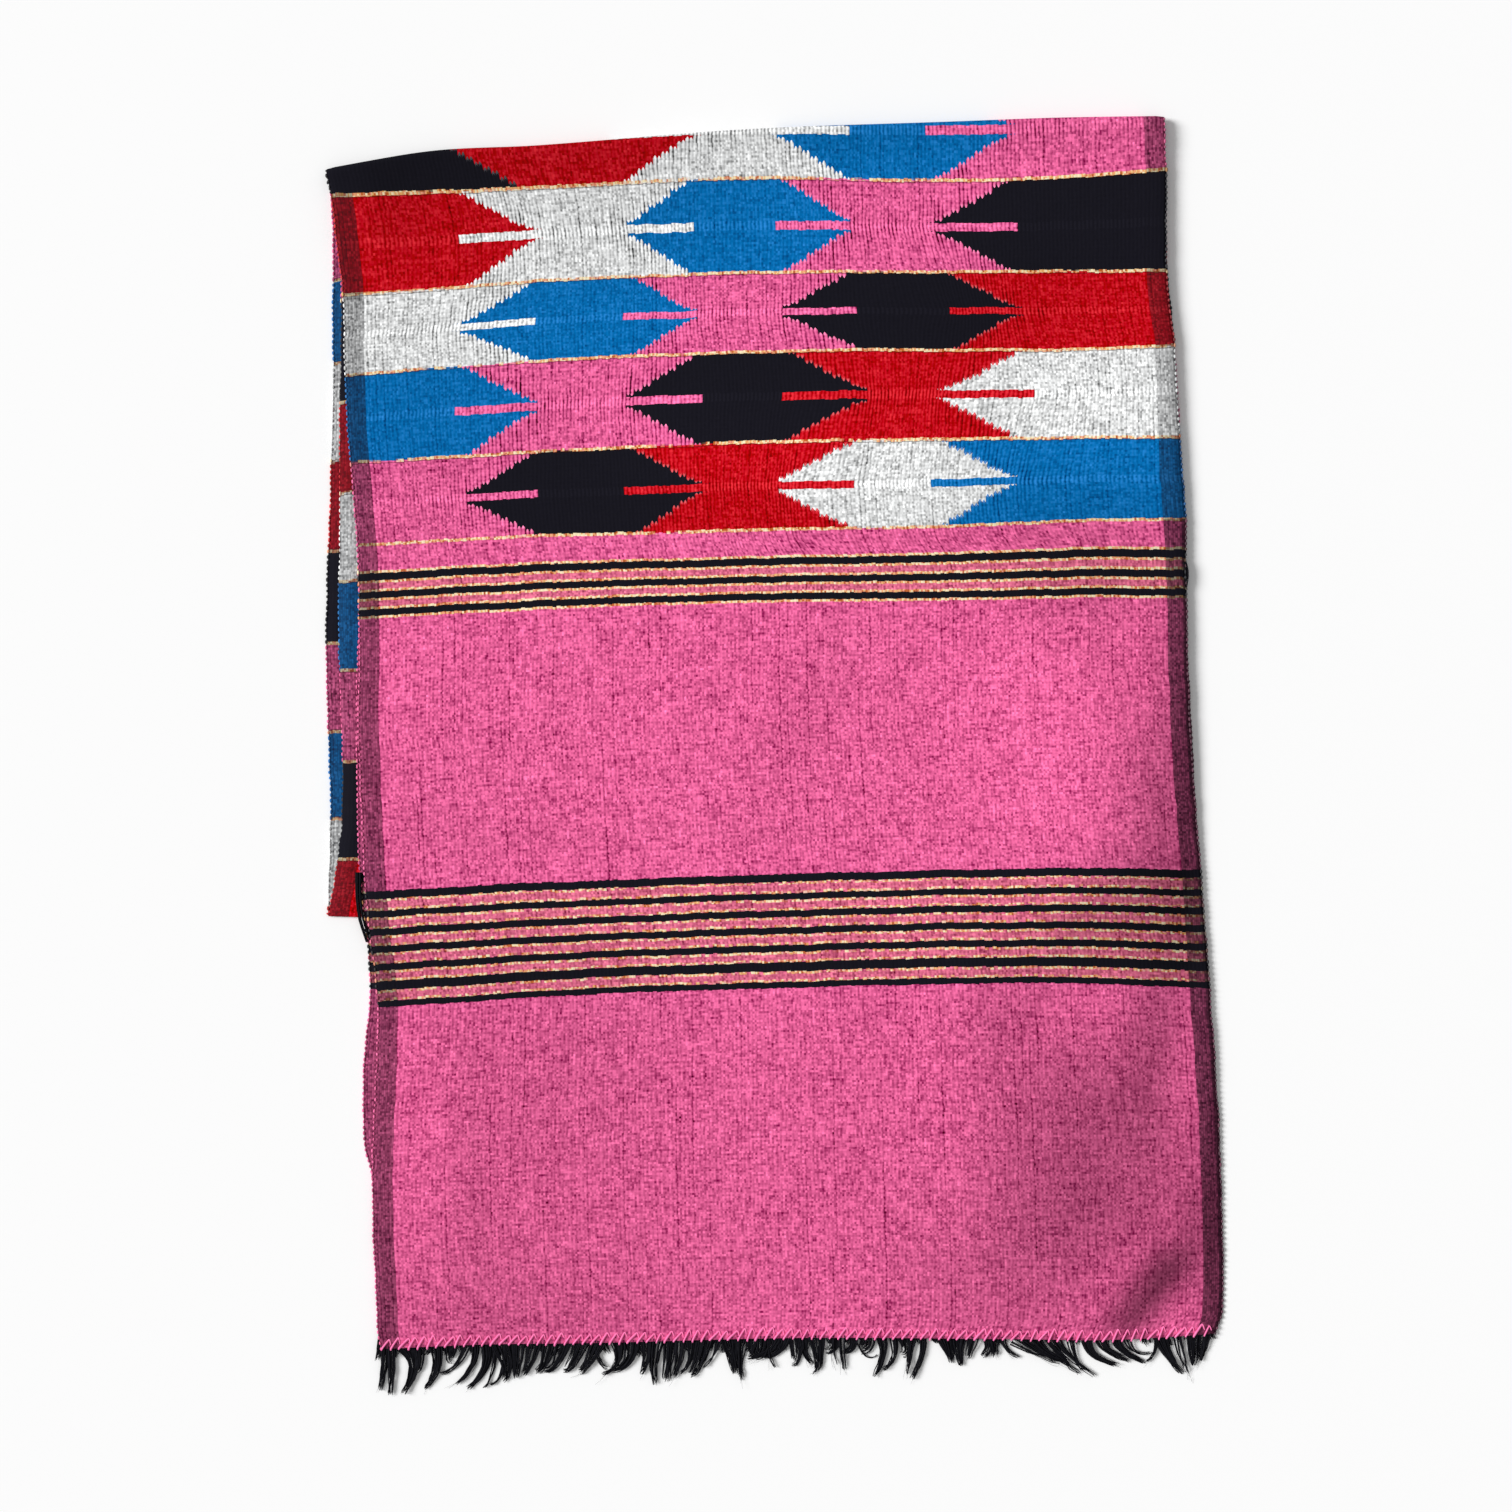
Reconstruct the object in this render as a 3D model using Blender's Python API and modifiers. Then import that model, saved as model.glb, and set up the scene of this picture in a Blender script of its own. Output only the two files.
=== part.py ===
# A handwoven half shawl: one long cotton cloth with a fringe at each end, folded in half
# crosswise, folded over once more, and laid flat with one fringed end uppermost.
#
# Metres, +Z up. +X runs across the cloth, and +Y from the fringed ends to the top fold.
# Four thicknesses of cloth lie on each other. From the top down they are the front panel,
# the back panel, and two hidden layers that end at the half fold, part of the way down.
# The origin is on the floor, under the middle of the folded shawl.

import math
import random
from collections import namedtuple

import bmesh
import bpy

CLOTH_THICKNESS = 0.0011
LAYER_GAP = 0.0005
SEAM_GAP = 0.0003

# The two hidden layers are one solid with two rounded edges and a groove between them.
HIDDEN_HEIGHT = 0.0026
GROOVE_DEPTH = 0.0025
GROOVE_HALF_HEIGHT = 0.00015
HALF_FOLD_Y = -0.0887

# The front panel turns over the top fold, and the back panel turns inside it.
FOLD_INNER_REACH = 0.0034
FOLD_LIFT = 0.0010
FOLD_TAIL = 0.0030
INNER_FOLD_SETBACK = 0.0024
INNER_FOLD_REACH = 0.0008
INNER_FOLD_LIFT = 0.0002

# How far the panels take to come down from the hidden layers to the floor.
BACK_DROP = 0.014
FRONT_DROP = 0.040
BACK_SIDE_DROP = 0.008
FRONT_SIDE_DROP = 0.016
SIDE_DROP_CLEARANCE = 0.003
FRONT_EDGE_DROP = 0.010

# The back panel's hem lies this far above the front panel's.
HEM_OFFSET = 0.010

FRINGE_LOCKS = 70
FRINGE_STRIP_DEPTH = 0.0025
FRINGE_STRIP_HEIGHT = 0.0009
FRINGE_ROOT_SHARE = 0.52
FRINGE_FLOOR_GAP = 0.00015
FRINGE_SHORTEST = 0.0200
FRINGE_LONGEST = 0.0255
FRINGE_LEAN_JITTER = 2.5
FRINGE_SEED = 11

# Courses are weft threads across a panel. Each row gives the cloth's length from the hem to
# that course, where it meets the two side edges, and its y at five even places across.
Course = namedtuple("Course", "woven left right y_0 y_25 y_50 y_75 y_100")
FRONT_COURSES = (
    Course(0.0000, -0.2150, 0.2425, -0.3255, -0.3220, -0.3192, -0.3198, -0.3170),
    Course(0.1000, -0.2195, 0.2455, -0.2281, -0.2227, -0.2195, -0.2186, -0.2185),
    Course(0.1940, -0.2185, 0.2395, -0.1365, -0.1294, -0.1254, -0.1233, -0.1260),
    Course(0.2520, -0.2235, 0.2350, -0.0769, -0.0710, -0.0669, -0.0643, -0.0648),
    Course(0.3300, -0.2275, 0.2310, 0.0014, 0.0074, 0.0110, 0.0129, 0.0131),
    Course(0.4060, -0.2280, 0.2270, 0.0778, 0.0838, 0.0869, 0.0883, 0.0892),
    Course(0.4430, -0.2290, 0.2265, 0.1150, 0.1207, 0.1237, 0.1261, 0.1293),
    Course(0.4913, -0.2325, 0.2245, 0.1607, 0.1672, 0.1719, 0.1736, 0.1749),
    Course(0.5396, -0.2355, 0.2215, 0.2089, 0.2171, 0.2218, 0.2227, 0.2251),
    Course(0.5879, -0.2370, 0.2170, 0.2535, 0.2617, 0.2658, 0.2662, 0.2671),
    Course(0.6362, -0.2430, 0.2160, 0.3065, 0.3122, 0.3167, 0.3172, 0.3209),
    Course(0.6600, -0.2450, 0.2130, 0.3226, 0.3352, 0.3442, 0.3483, 0.3505),
)

# The back panel follows the front panel's courses, with side edges of its own.
BackEdge = namedtuple("BackEdge", "woven left right")
BACK_EDGES = (
    BackEdge(0.0000, -0.2180, 0.2370),
    BackEdge(0.1000, -0.2251, 0.2350),
    BackEdge(0.1940, -0.2229, 0.2365),
    BackEdge(0.2520, -0.2267, 0.2325),
    BackEdge(0.3300, -0.2284, 0.2285),
    BackEdge(0.4060, -0.2272, 0.2245),
    BackEdge(0.4913, -0.2310, 0.2220),
    BackEdge(0.5879, -0.2350, 0.2150),
    BackEdge(0.6600, -0.2425, 0.2105),
)

# The hidden layers, from the half fold up: the lower layer is the outer one, on the floor.
HiddenEdge = namedtuple("HiddenEdge", "y lower_left lower_right upper_left upper_right")
HIDDEN_EDGES = (
    HiddenEdge(-0.0887, -0.2449, 0.2115, -0.2440, 0.2110),
    HiddenEdge(-0.0300, -0.2443, 0.2130, -0.2366, 0.2165),
    HiddenEdge(0.0600, -0.2470, 0.2125, -0.2388, 0.2165),
    HiddenEdge(0.1250, -0.2449, 0.2125, -0.2383, 0.2150),
    HiddenEdge(0.1900, -0.2421, 0.2105, -0.2378, 0.2130),
    HiddenEdge(0.2550, -0.2418, 0.2085, -0.2370, 0.2105),
    HiddenEdge(0.2900, -0.2418, 0.2088, -0.2385, 0.2095),
    HiddenEdge(0.3226, -0.2450, 0.2128, -0.2425, 0.2100),
)

# Soft ridges of the front panel: the middle of each, how far its line leans from +Y to +X in
# degrees, its length and width, and how high it stands.
Ridge = namedtuple("Ridge", "x y lean length width height")
RIDGES = (
    Ridge(0.180, 0.010, -9, 0.170, 0.040, 0.0028),
    Ridge(0.108, -0.205, -6, 0.150, 0.032, 0.0022),
    Ridge(0.224, -0.215, 2, 0.130, 0.016, 0.0012),
    Ridge(-0.178, -0.225, 2, 0.120, 0.024, 0.0011),
    Ridge(-0.020, 0.030, 40, 0.120, 0.050, 0.0012),
    Ridge(0.050, 0.250, 80, 0.170, 0.040, 0.0012),
    Ridge(-0.060, -0.285, 84, 0.130, 0.026, 0.0009),
    Ridge(-0.225, 0.300, 25, 0.040, 0.022, 0.0012),
)

# The fringe leans to the left in one part and to the right in another, in degrees.
Lean = namedtuple("Lean", "across front back")
FRINGE_LEANS = (
    Lean(0.00, 0, -4),
    Lean(0.08, -18, -8),
    Lean(0.20, -16, -12),
    Lean(0.40, 4, 6),
    Lean(0.60, 2, -6),
    Lean(0.80, 20, 10),
    Lean(0.95, 22, 14),
    Lean(1.00, 4, 6),
)

# The middle of a lock along its length: share of the way, share of the root's width and
# thickness that is left, and share of the way down to its tip's height.
LockStep = namedtuple("LockStep", "along width thickness drop")
LOCK_STEPS = (
    LockStep(0.5, 0.72, 0.85, 0.25),
    LockStep(1.0, 0.20, 0.40, 1.00),
)
LOCK_TIP_HEIGHT = 0.00055

# Places of the grid lines across and along the panels, closer where the cloth bends.
ACROSS = (0.0, 0.02, 0.05) + tuple(0.05 + 0.9 * i / 12 for i in range(1, 13)) + (0.968, 0.984, 1.0)
PANEL_ROWS = 27
STEP_ROWS = (0.205, 0.2135, 0.222, 0.2305)
FOLD_TURN_STEPS = 6
HIDDEN_ROWS = 16
HIDDEN_COLUMNS = 12
FOLD_NOSE_STEPS = (0.0, 0.3, 0.7)

PINK = (0.73, 0.115, 0.33, 1.0)
DEEP_PINK = (0.70, 0.100, 0.30, 1.0)
RED = (0.56, 0.010, 0.018, 1.0)
BLACK = (0.012, 0.012, 0.018, 1.0)
CLOTH_ROUGHNESS = 0.85


# Small helpers


def smooth(value):
    value = min(max(value, 0.0), 1.0)
    return value * value * (3.0 - 2.0 * value)


def curve(places, values, place):
    """A smooth curve through values at rising places, read at one place."""
    last = len(places) - 1
    if place <= places[0]:
        return values[0]
    if place >= places[last]:
        return values[last]
    k = next(i for i in range(last) if place <= places[i + 1])

    def slope(i):
        low, high = max(i - 1, 0), min(i + 1, last)
        return (values[high] - values[low]) / (places[high] - places[low])

    run = places[k + 1] - places[k]
    t = (place - places[k]) / run
    return (
        (1 + 2 * t) * (1 - t) ** 2 * values[k]
        + t * (1 - t) ** 2 * run * slope(k)
        + t * t * (3 - 2 * t) * values[k + 1]
        - t * t * (1 - t) * run * slope(k + 1)
    )


def column(rows, name):
    return [getattr(row, name) for row in rows]


# Where the cloth lies, seen from above

FIFTHS = (0.0, 0.25, 0.5, 0.75, 1.0)
Y_NAMES = ("y_0", "y_25", "y_50", "y_75", "y_100")
FOLD_COURSE = FRONT_COURSES[-1]
WOVEN_TO_FOLD = FOLD_COURSE.woven


def edge_x(rows, across, place, left="left", right="right", by="woven"):
    places = column(rows, by)
    low = curve(places, column(rows, left), place)
    return low + across * (curve(places, column(rows, right), place) - low)


def course_y(x, woven, fold_setback=0.0, hem_offset=0.0):
    """The y of a course, on a panel that stops short of the fold and of the front hem."""
    places = column(FRONT_COURSES, "woven")
    left = edge_x(FRONT_COURSES, 0.0, woven)
    right = edge_x(FRONT_COURSES, 1.0, woven)
    ys = [curve(places, column(FRONT_COURSES, name), woven) for name in Y_NAMES]
    y = curve(FIFTHS, ys, (x - left) / (right - left))
    share = woven / WOVEN_TO_FOLD
    return y - share ** 8 * fold_setback + (1 - share ** 4) * hem_offset


def fold_line(x):
    """The y of the top fold's outermost point."""
    return course_y(x, WOVEN_TO_FOLD)


# How high the cloth lies


def on_hidden_layers(x, y, drop, side_drop):
    """1 where the hidden layers carry a panel, falling to 0 where it has reached the floor."""
    right = edge_x(HIDDEN_EDGES, 1.0, y, "lower_left", "upper_right", "y") + SIDE_DROP_CLEARANCE
    along = smooth(1.0 - (HALF_FOLD_Y - y) / drop)
    return along * smooth(1.0 - (x - right) / side_drop)


def ridges(x, y):
    height = 0.0
    for ridge in RIDGES:
        lean = math.radians(ridge.lean)
        dx, dy = x - ridge.x, y - ridge.y
        along = dx * math.sin(lean) + dy * math.cos(lean)
        beside = dx * math.cos(lean) - dy * math.sin(lean)
        reach = (2 * along / ridge.length) ** 4 + (1.2 * beside / ridge.width) ** 2
        height += ridge.height * math.exp(-reach)
    return height


def back_underside(x, y):
    carried = on_hidden_layers(x, y, BACK_DROP, BACK_SIDE_DROP)
    return carried * (HIDDEN_HEIGHT + LAYER_GAP)


def front_underside(x, y):
    carried = on_hidden_layers(x, y, FRONT_DROP, FRONT_SIDE_DROP)
    woven = WOVEN_TO_FOLD * (y - FRONT_COURSES[0].y_50) / (FOLD_COURSE.y_50 - FRONT_COURSES[0].y_50)
    beyond_back = x - edge_x(BACK_EDGES, 1.0, woven) - SEAM_GAP
    on_back = smooth(1.0 - beyond_back / FRONT_EDGE_DROP)
    lifted = carried * (HIDDEN_HEIGHT + LAYER_GAP) + ridges(x, y)
    return lifted + on_back * (CLOTH_THICKNESS + LAYER_GAP)


# Objects and materials


def clear_scene():
    for obj in list(bpy.data.objects):
        bpy.data.objects.remove(obj, do_unlink=True)


def cloth_material(name, colour):
    material = bpy.data.materials.new(name)
    material.use_nodes = True
    shader = material.node_tree.nodes["Principled BSDF"]
    shader.inputs["Base Color"].default_value = colour
    shader.inputs["Roughness"].default_value = CLOTH_ROUGHNESS
    shader.inputs["Metallic"].default_value = 0.0
    return material


def add_object(mesh_builder, name, collection, material):
    mesh = bpy.data.meshes.new(name)
    mesh_builder.to_mesh(mesh)
    mesh_builder.free()
    mesh.materials.append(material)
    mesh.shade_smooth()
    mesh.set_sharp_from_angle(angle=math.radians(50))
    obj = bpy.data.objects.new(name, mesh)
    collection.objects.link(obj)
    return obj


def give_thickness(obj):
    """Cloth grows outwards from its inner face, which lies exactly where it was modelled."""
    solidify = obj.modifiers.new("cloth", "SOLIDIFY")
    solidify.thickness = CLOTH_THICKNESS
    solidify.offset = 1.0


# The two panels


def panel_rows():
    """The cloth's length from the hem at each row of a panel, closer at the half fold."""
    even = [WOVEN_TO_FOLD * i / PANEL_ROWS for i in range(PANEL_ROWS + 1)]
    apart = [row for row in even if all(abs(row - step) > 0.006 for step in STEP_ROWS)]
    return sorted(apart + list(STEP_ROWS))


def fold_turn(reach, top, bottom):
    """The inner face of a fold: steps of (y past the fold's start, z), and a flat tail."""
    middle, half = (top + bottom) / 2, (top - bottom) / 2
    steps = []
    for i in range(1, FOLD_TURN_STEPS + 1):
        turn = math.pi * (0.5 - i / FOLD_TURN_STEPS)
        steps.append((reach * math.cos(turn), middle + half * math.sin(turn)))
    steps.append((-FOLD_TAIL, bottom))
    return steps


def make_panel(name, collection, material, edges, underside, fold):
    """A panel from its hem to the top, with the turn over the fold at its end."""
    rows = panel_rows()
    setback = fold["setback"] + CLOTH_THICKNESS + fold["reach"]
    turn_count = FOLD_TURN_STEPS + 1
    builder = bmesh.new()
    bmesh.ops.create_grid(
        builder, x_segments=len(ACROSS) - 1, y_segments=len(rows) - 1 + turn_count, size=0.5
    )
    for vertex in builder.verts:
        i = round((vertex.co.x + 0.5) * (len(ACROSS) - 1))
        j = round((vertex.co.y + 0.5) * (len(rows) - 1 + turn_count))
        woven = rows[min(j, len(rows) - 1)]
        across = ACROSS[i]
        x = edge_x(edges, across, woven)
        y = course_y(x, woven, setback, fold["hem_offset"])
        near_fold = smooth((woven - (WOVEN_TO_FOLD - 0.03)) / 0.03)
        z = underside(x, y) + near_fold * fold["lift"]
        if j >= len(rows):
            ahead, z = fold_turn(fold["reach"], z, fold["bottom"])[j - len(rows)]
            y += ahead
        vertex.co = (x, y, z)
    obj = add_object(builder, name, collection, material)
    give_thickness(obj)
    return obj


def make_front_panel(collection):
    fold = {
        "setback": 0.0,
        "reach": FOLD_INNER_REACH,
        "lift": FOLD_LIFT,
        "bottom": CLOTH_THICKNESS,
        "hem_offset": 0.0,
    }
    material = cloth_material("front panel", PINK)
    make_panel("front_panel", collection, material, FRONT_COURSES, front_underside, fold)


def make_back_panel(collection):
    fold = {
        "setback": INNER_FOLD_SETBACK,
        "reach": INNER_FOLD_REACH,
        "lift": INNER_FOLD_LIFT,
        "bottom": HIDDEN_HEIGHT,
        "hem_offset": HEM_OFFSET,
    }
    material = cloth_material("back panel", DEEP_PINK)
    make_panel("back_panel", collection, material, BACK_EDGES, back_underside, fold)


# The hidden layers


def hidden_ring(y):
    """The outline of both layers at one place: (x, z), round from the bottom."""
    edge = {name: curve(column(HIDDEN_EDGES, "y"), column(HIDDEN_EDGES, name), y)
            for name in HiddenEdge._fields}
    middle = HIDDEN_HEIGHT / 2
    low, high = middle - GROOVE_HALF_HEIGHT, middle + GROOVE_HALF_HEIGHT
    bulge = low / 2

    def nose(x, base, direction):
        """One layer's rounded edge, going up."""
        return [
            (x - direction * bulge, base),
            (x, base + 0.5 * low),
            (x - direction * bulge, base + low),
        ]

    groove_right = min(edge["lower_right"], edge["upper_right"]) - GROOVE_DEPTH
    groove_left = max(edge["lower_left"], edge["upper_left"]) + GROOVE_DEPTH
    right = nose(edge["lower_right"], 0.0, 1) + [(groove_right, middle)]
    right += nose(edge["upper_right"], high, 1)
    left = nose(edge["upper_left"], high, -1)[::-1] + [(groove_left, middle)]
    left += nose(edge["lower_left"], 0.0, -1)[::-1]
    inner = [i / HIDDEN_COLUMNS for i in range(1, HIDDEN_COLUMNS)]
    bottom = [(left[-1][0] + s * (right[0][0] - left[-1][0]), 0.0) for s in inner]
    top = [(left[0][0] + s * (right[-1][0] - left[0][0]), HIDDEN_HEIGHT) for s in reversed(inner)]
    return bottom + right + top + left


def make_hidden_layers(collection):
    top = FOLD_COURSE.y_0 - CLOTH_THICKNESS - FOLD_INNER_REACH - FOLD_TAIL - SEAM_GAP
    radius = HIDDEN_HEIGHT / 2
    stations = [(HALF_FOLD_Y + radius * share, math.sqrt(1 - (1 - share) ** 2)) for share in FOLD_NOSE_STEPS]
    first = HALF_FOLD_Y + radius
    stations += [(first + (top - first) * i / HIDDEN_ROWS, 1.0) for i in range(HIDDEN_ROWS + 1)]
    builder = bmesh.new()
    rings = []
    for y, swell in stations:
        share_up = (y - HALF_FOLD_Y) / (top - HALF_FOLD_Y)
        ring = []
        for x, z in hidden_ring(y):
            rise = share_up * (fold_line(x) - FOLD_COURSE.y_0)
            z = radius + max(swell, 0.06) * (z - radius)
            ring.append(builder.verts.new((x, y + rise, z)))
        rings.append(ring)
    for lower, upper in zip(rings, rings[1:]):
        for k in range(len(lower)):
            after = (k + 1) % len(lower)
            builder.faces.new((lower[k], lower[after], upper[after], upper[k]))
    builder.faces.new(rings[0][::-1])
    builder.faces.new(rings[-1])
    bmesh.ops.recalc_face_normals(builder, faces=builder.faces)
    bmesh.ops.triangulate(builder, faces=[f for f in builder.faces if len(f.verts) > 4])
    add_object(builder, "folded_layers", collection, cloth_material("folded layers", RED))


# The fringes


def make_fringe(name, collection, edges, underside, hem_offset, lean_name, seed):
    """A narrow strip beside the hem, with tapered locks growing from its front."""
    chance = random.Random(seed)
    pieces = 2 * FRINGE_LOCKS + 1
    gap_share = 1.0 - FRINGE_ROOT_SHARE
    pitch = 1.0 / (FRINGE_LOCKS + gap_share)
    builder = bmesh.new()
    bmesh.ops.create_grid(builder, x_segments=pieces, y_segments=1, size=0.5)
    for vertex in builder.verts:
        i = round((vertex.co.x + 0.5) * pieces)
        across = (i // 2) * pitch + (i % 2) * gap_share * pitch
        across = 0.002 + 0.996 * across
        x = edge_x(edges, across, 0.0)
        y = course_y(x, 0.0, hem_offset=hem_offset)
        z = max(underside(x, y), FRINGE_FLOOR_GAP) + (vertex.co.y > 0) * FRINGE_STRIP_HEIGHT
        vertex.co = (x, y - SEAM_GAP - FRINGE_STRIP_DEPTH, z)
    fronts = sorted(builder.faces, key=lambda face: face.calc_center_median().x)
    roots = fronts[1::2]
    grown = bmesh.ops.extrude_face_region(builder, geom=list(builder.faces), use_keep_orig=True)
    moved = [item for item in grown["geom"] if isinstance(item, bmesh.types.BMVert)]
    bmesh.ops.translate(builder, verts=moved, vec=(0.0, FRINGE_STRIP_DEPTH, 0.0))
    for root in roots:
        grow_lock(builder, root, chance, lean_name)
    bmesh.ops.recalc_face_normals(builder, faces=builder.faces)
    add_object(builder, name, collection, cloth_material(name.replace("_", " "), BLACK))


def grow_lock(builder, root, chance, lean_name):
    """Extrudes one face of the strip into a tapered lock that comes down to the floor."""
    centre = root.calc_center_median()
    across = (centre.x - FRONT_COURSES[0].left) / (FRONT_COURSES[0].right - FRONT_COURSES[0].left)
    lean = curve(column(FRINGE_LEANS, "across"), column(FRINGE_LEANS, lean_name), across)
    lean = math.radians(lean + chance.uniform(-FRINGE_LEAN_JITTER, FRINGE_LEAN_JITTER))
    length = chance.uniform(FRINGE_SHORTEST, FRINGE_LONGEST)
    shape = [vertex.co - centre for vertex in root.verts]
    face = root
    for step in LOCK_STEPS:
        face = bmesh.ops.extrude_discrete_faces(builder, faces=[face])["faces"][0]
        reach = length * step.along
        middle_z = centre.z + step.drop * (LOCK_TIP_HEIGHT - centre.z)
        for vertex, offset in zip(face.verts, shape):
            vertex.co.x = centre.x + reach * math.sin(lean) + offset.x * step.width
            vertex.co.y = centre.y - reach * math.cos(lean) - offset.x * step.width * math.sin(lean)
            vertex.co.z = middle_z + offset.z * step.thickness


def main():
    clear_scene()
    collection = bpy.data.collections.new("half shawl")
    bpy.context.scene.collection.children.link(collection)
    make_front_panel(collection)
    make_back_panel(collection)
    make_hidden_layers(collection)
    make_fringe("front_fringe", collection, FRONT_COURSES, front_underside, 0.0, "front", FRINGE_SEED)
    make_fringe("back_fringe", collection, BACK_EDGES, back_underside, HEM_OFFSET, "back", FRINGE_SEED + 1)


main()
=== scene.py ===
# A handwoven half shawl, folded in four and laid flat, with a hexagon pattern, black stripe
# bands, gold lines, overcast hems and a black fringe. Metres, +Z up, +Y towards the top fold.

import math
import random
from functools import partialmethod

import bpy
import numpy as np
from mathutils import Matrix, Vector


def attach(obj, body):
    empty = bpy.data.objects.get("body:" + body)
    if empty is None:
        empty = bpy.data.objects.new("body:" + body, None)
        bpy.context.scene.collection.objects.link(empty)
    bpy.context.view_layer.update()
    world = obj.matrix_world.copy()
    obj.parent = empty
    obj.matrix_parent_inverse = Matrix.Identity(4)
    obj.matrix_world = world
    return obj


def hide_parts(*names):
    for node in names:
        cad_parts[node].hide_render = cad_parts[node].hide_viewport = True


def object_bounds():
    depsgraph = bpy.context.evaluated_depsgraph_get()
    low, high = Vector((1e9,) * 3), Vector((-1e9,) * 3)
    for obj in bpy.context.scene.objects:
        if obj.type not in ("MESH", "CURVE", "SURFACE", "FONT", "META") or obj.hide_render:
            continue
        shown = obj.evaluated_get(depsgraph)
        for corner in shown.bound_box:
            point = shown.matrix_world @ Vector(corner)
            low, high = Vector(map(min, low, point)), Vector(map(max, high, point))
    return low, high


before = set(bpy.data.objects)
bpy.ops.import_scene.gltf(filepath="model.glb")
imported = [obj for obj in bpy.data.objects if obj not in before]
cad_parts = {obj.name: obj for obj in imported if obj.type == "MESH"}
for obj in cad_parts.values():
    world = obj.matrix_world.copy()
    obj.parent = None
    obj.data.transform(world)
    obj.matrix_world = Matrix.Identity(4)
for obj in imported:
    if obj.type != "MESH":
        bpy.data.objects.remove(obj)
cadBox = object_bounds()
print("frame loaded:", len(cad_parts), "nodes")

mm = 0.001

# how the cloth is folded

folding = {
    "clothThickness": 1.1 * mm,
    "layerGap": 0.5 * mm,
    "seamGap": 0.3 * mm,
    "hiddenHeight": 2.6 * mm,       # the two hidden layers together
    "halfFoldY": -88.7 * mm,
    "foldReach": 3.4 * mm,          # the top fold's inner face, past where it starts to turn
    "foldLift": 1.0 * mm,
    "foldTail": 3.0 * mm,
    "innerSetback": 2.4 * mm,       # the back panel turns inside the front one
    "innerReach": 0.8 * mm,
    "innerLift": 0.2 * mm,
    "backDrop": 14 * mm,            # how far the panels take to come down past the half fold
    "frontDrop": 40 * mm,
    "backSideDrop": 8 * mm,
    "frontSideDrop": 16 * mm,
    "sideClearance": 3 * mm,
    "edgeDrop": 10 * mm,            # the front panel coming down beyond the back one's edge
    "hemOffset": 10 * mm,           # the back hem lies this far above the front one
}

# the cloth's own measures, from hem to hem and across
cloth = {
    "width": 460 * mm,
    "length": 2142 * mm,
    "panelLength": 660 * mm,        # hem to top fold
    "patternStart": 443 * mm,
    "rowHeight": 48.3 * mm,
    "rows": 26,
}

# weft threads across the front panel, in mm: length from the hem, left and right edge, and y
# at 0, 1/8, 1/4, 1/2, 3/4, 7/8 and all the way across
frontCourses = np.array([
    (0.0, -215.6, 242.2, -325.3, -322.8, -322.0, -319.2, -319.8, -320.3, -316.9),
    (12.0, -217.3, 245.9, -313.6, -311.1, -310.1, -307.2, -307.7, -308.1, -305.1),
    (100.0, -219.9, 244.5, -228.1, -225.0, -222.7, -219.5, -218.6, -218.4, -218.5),
    (194.0, -217.2, 238.7, -136.5, -132.8, -129.4, -125.4, -123.3, -123.7, -126.0),
    (252.0, -223.0, 234.1, -76.9, -73.4, -71.0, -66.9, -64.3, -63.6, -64.8),
    (330.0, -226.8, 227.8, 1.4, 4.6, 7.4, 11.0, 12.9, 13.5, 13.1),
    (406.0, -226.8, 225.6, 77.8, 80.9, 83.8, 86.9, 88.3, 89.6, 89.2),
    (425.5, -227.3, 225.5, 97.2, 100.6, 103.1, 106.1, 108.5, 110.6, 110.3),
    (443.0, -228.0, 225.7, 115.0, 118.3, 120.7, 123.7, 126.1, 128.6, 129.3),
    (491.3, -231.6, 221.8, 160.7, 163.6, 167.2, 171.9, 173.6, 174.2, 174.9),
    (539.6, -234.8, 219.1, 208.9, 213.2, 217.1, 221.8, 222.7, 223.1, 225.1),
    (587.9, -235.8, 214.6, 253.5, 257.1, 261.7, 265.8, 266.2, 266.6, 267.1),
    (636.2, -242.2, 214.6, 309.5, 311.0, 314.1, 319.3, 317.8, 319.6, 324.3),
    (660.0, -244.4, 213.4, 321.6, 331.2, 334.2, 343.0, 347.3, 349.4, 350.3),
]) * mm
coursePlaces = (0.0, 0.125, 0.25, 0.5, 0.75, 0.875, 1.0)

# how much of the cloth lies below the top fold at those places, as it isn't folded quite straight
foldLengths = np.array([650.5, 657.6, 657.6, 662.0, 666.0, 666.4, 664.2]) * mm

# the back panel's edges, in mm: length from its hem, left, right
backEdges = np.array([
    (0.0, -215.9, 237.0), (50.0, -217.8, 236.0), (90.0, -221.0, 235.0), (104.0, -224.6, 235.2),
    (150.0, -225.2, 236.0), (194.0, -221.5, 236.5), (252.0, -226.7, 232.5), (330.0, -228.4, 228.5),
    (406.0, -227.2, 224.5), (491.3, -231.0, 222.0), (587.9, -235.0, 215.0), (660.0, -242.5, 210.5),
]) * mm

# the hidden layers from the half fold up, in mm: y, lower left and right, upper left and right
hiddenEdges = np.array([
    (-88.7, -244.6, 211.5, -244.0, 211.0), (-30.0, -243.2, 213.0, -236.4, 216.5),
    (60.0, -245.6, 212.5, -238.4, 216.5), (125.0, -243.8, 212.5, -238.0, 215.0),
    (190.0, -242.1, 210.5, -237.8, 213.0), (255.0, -241.8, 208.5, -237.0, 210.5),
    (290.0, -241.8, 208.8, -238.5, 209.5), (322.6, -245.0, 212.8, -242.5, 210.0),
]) * mm

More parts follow.
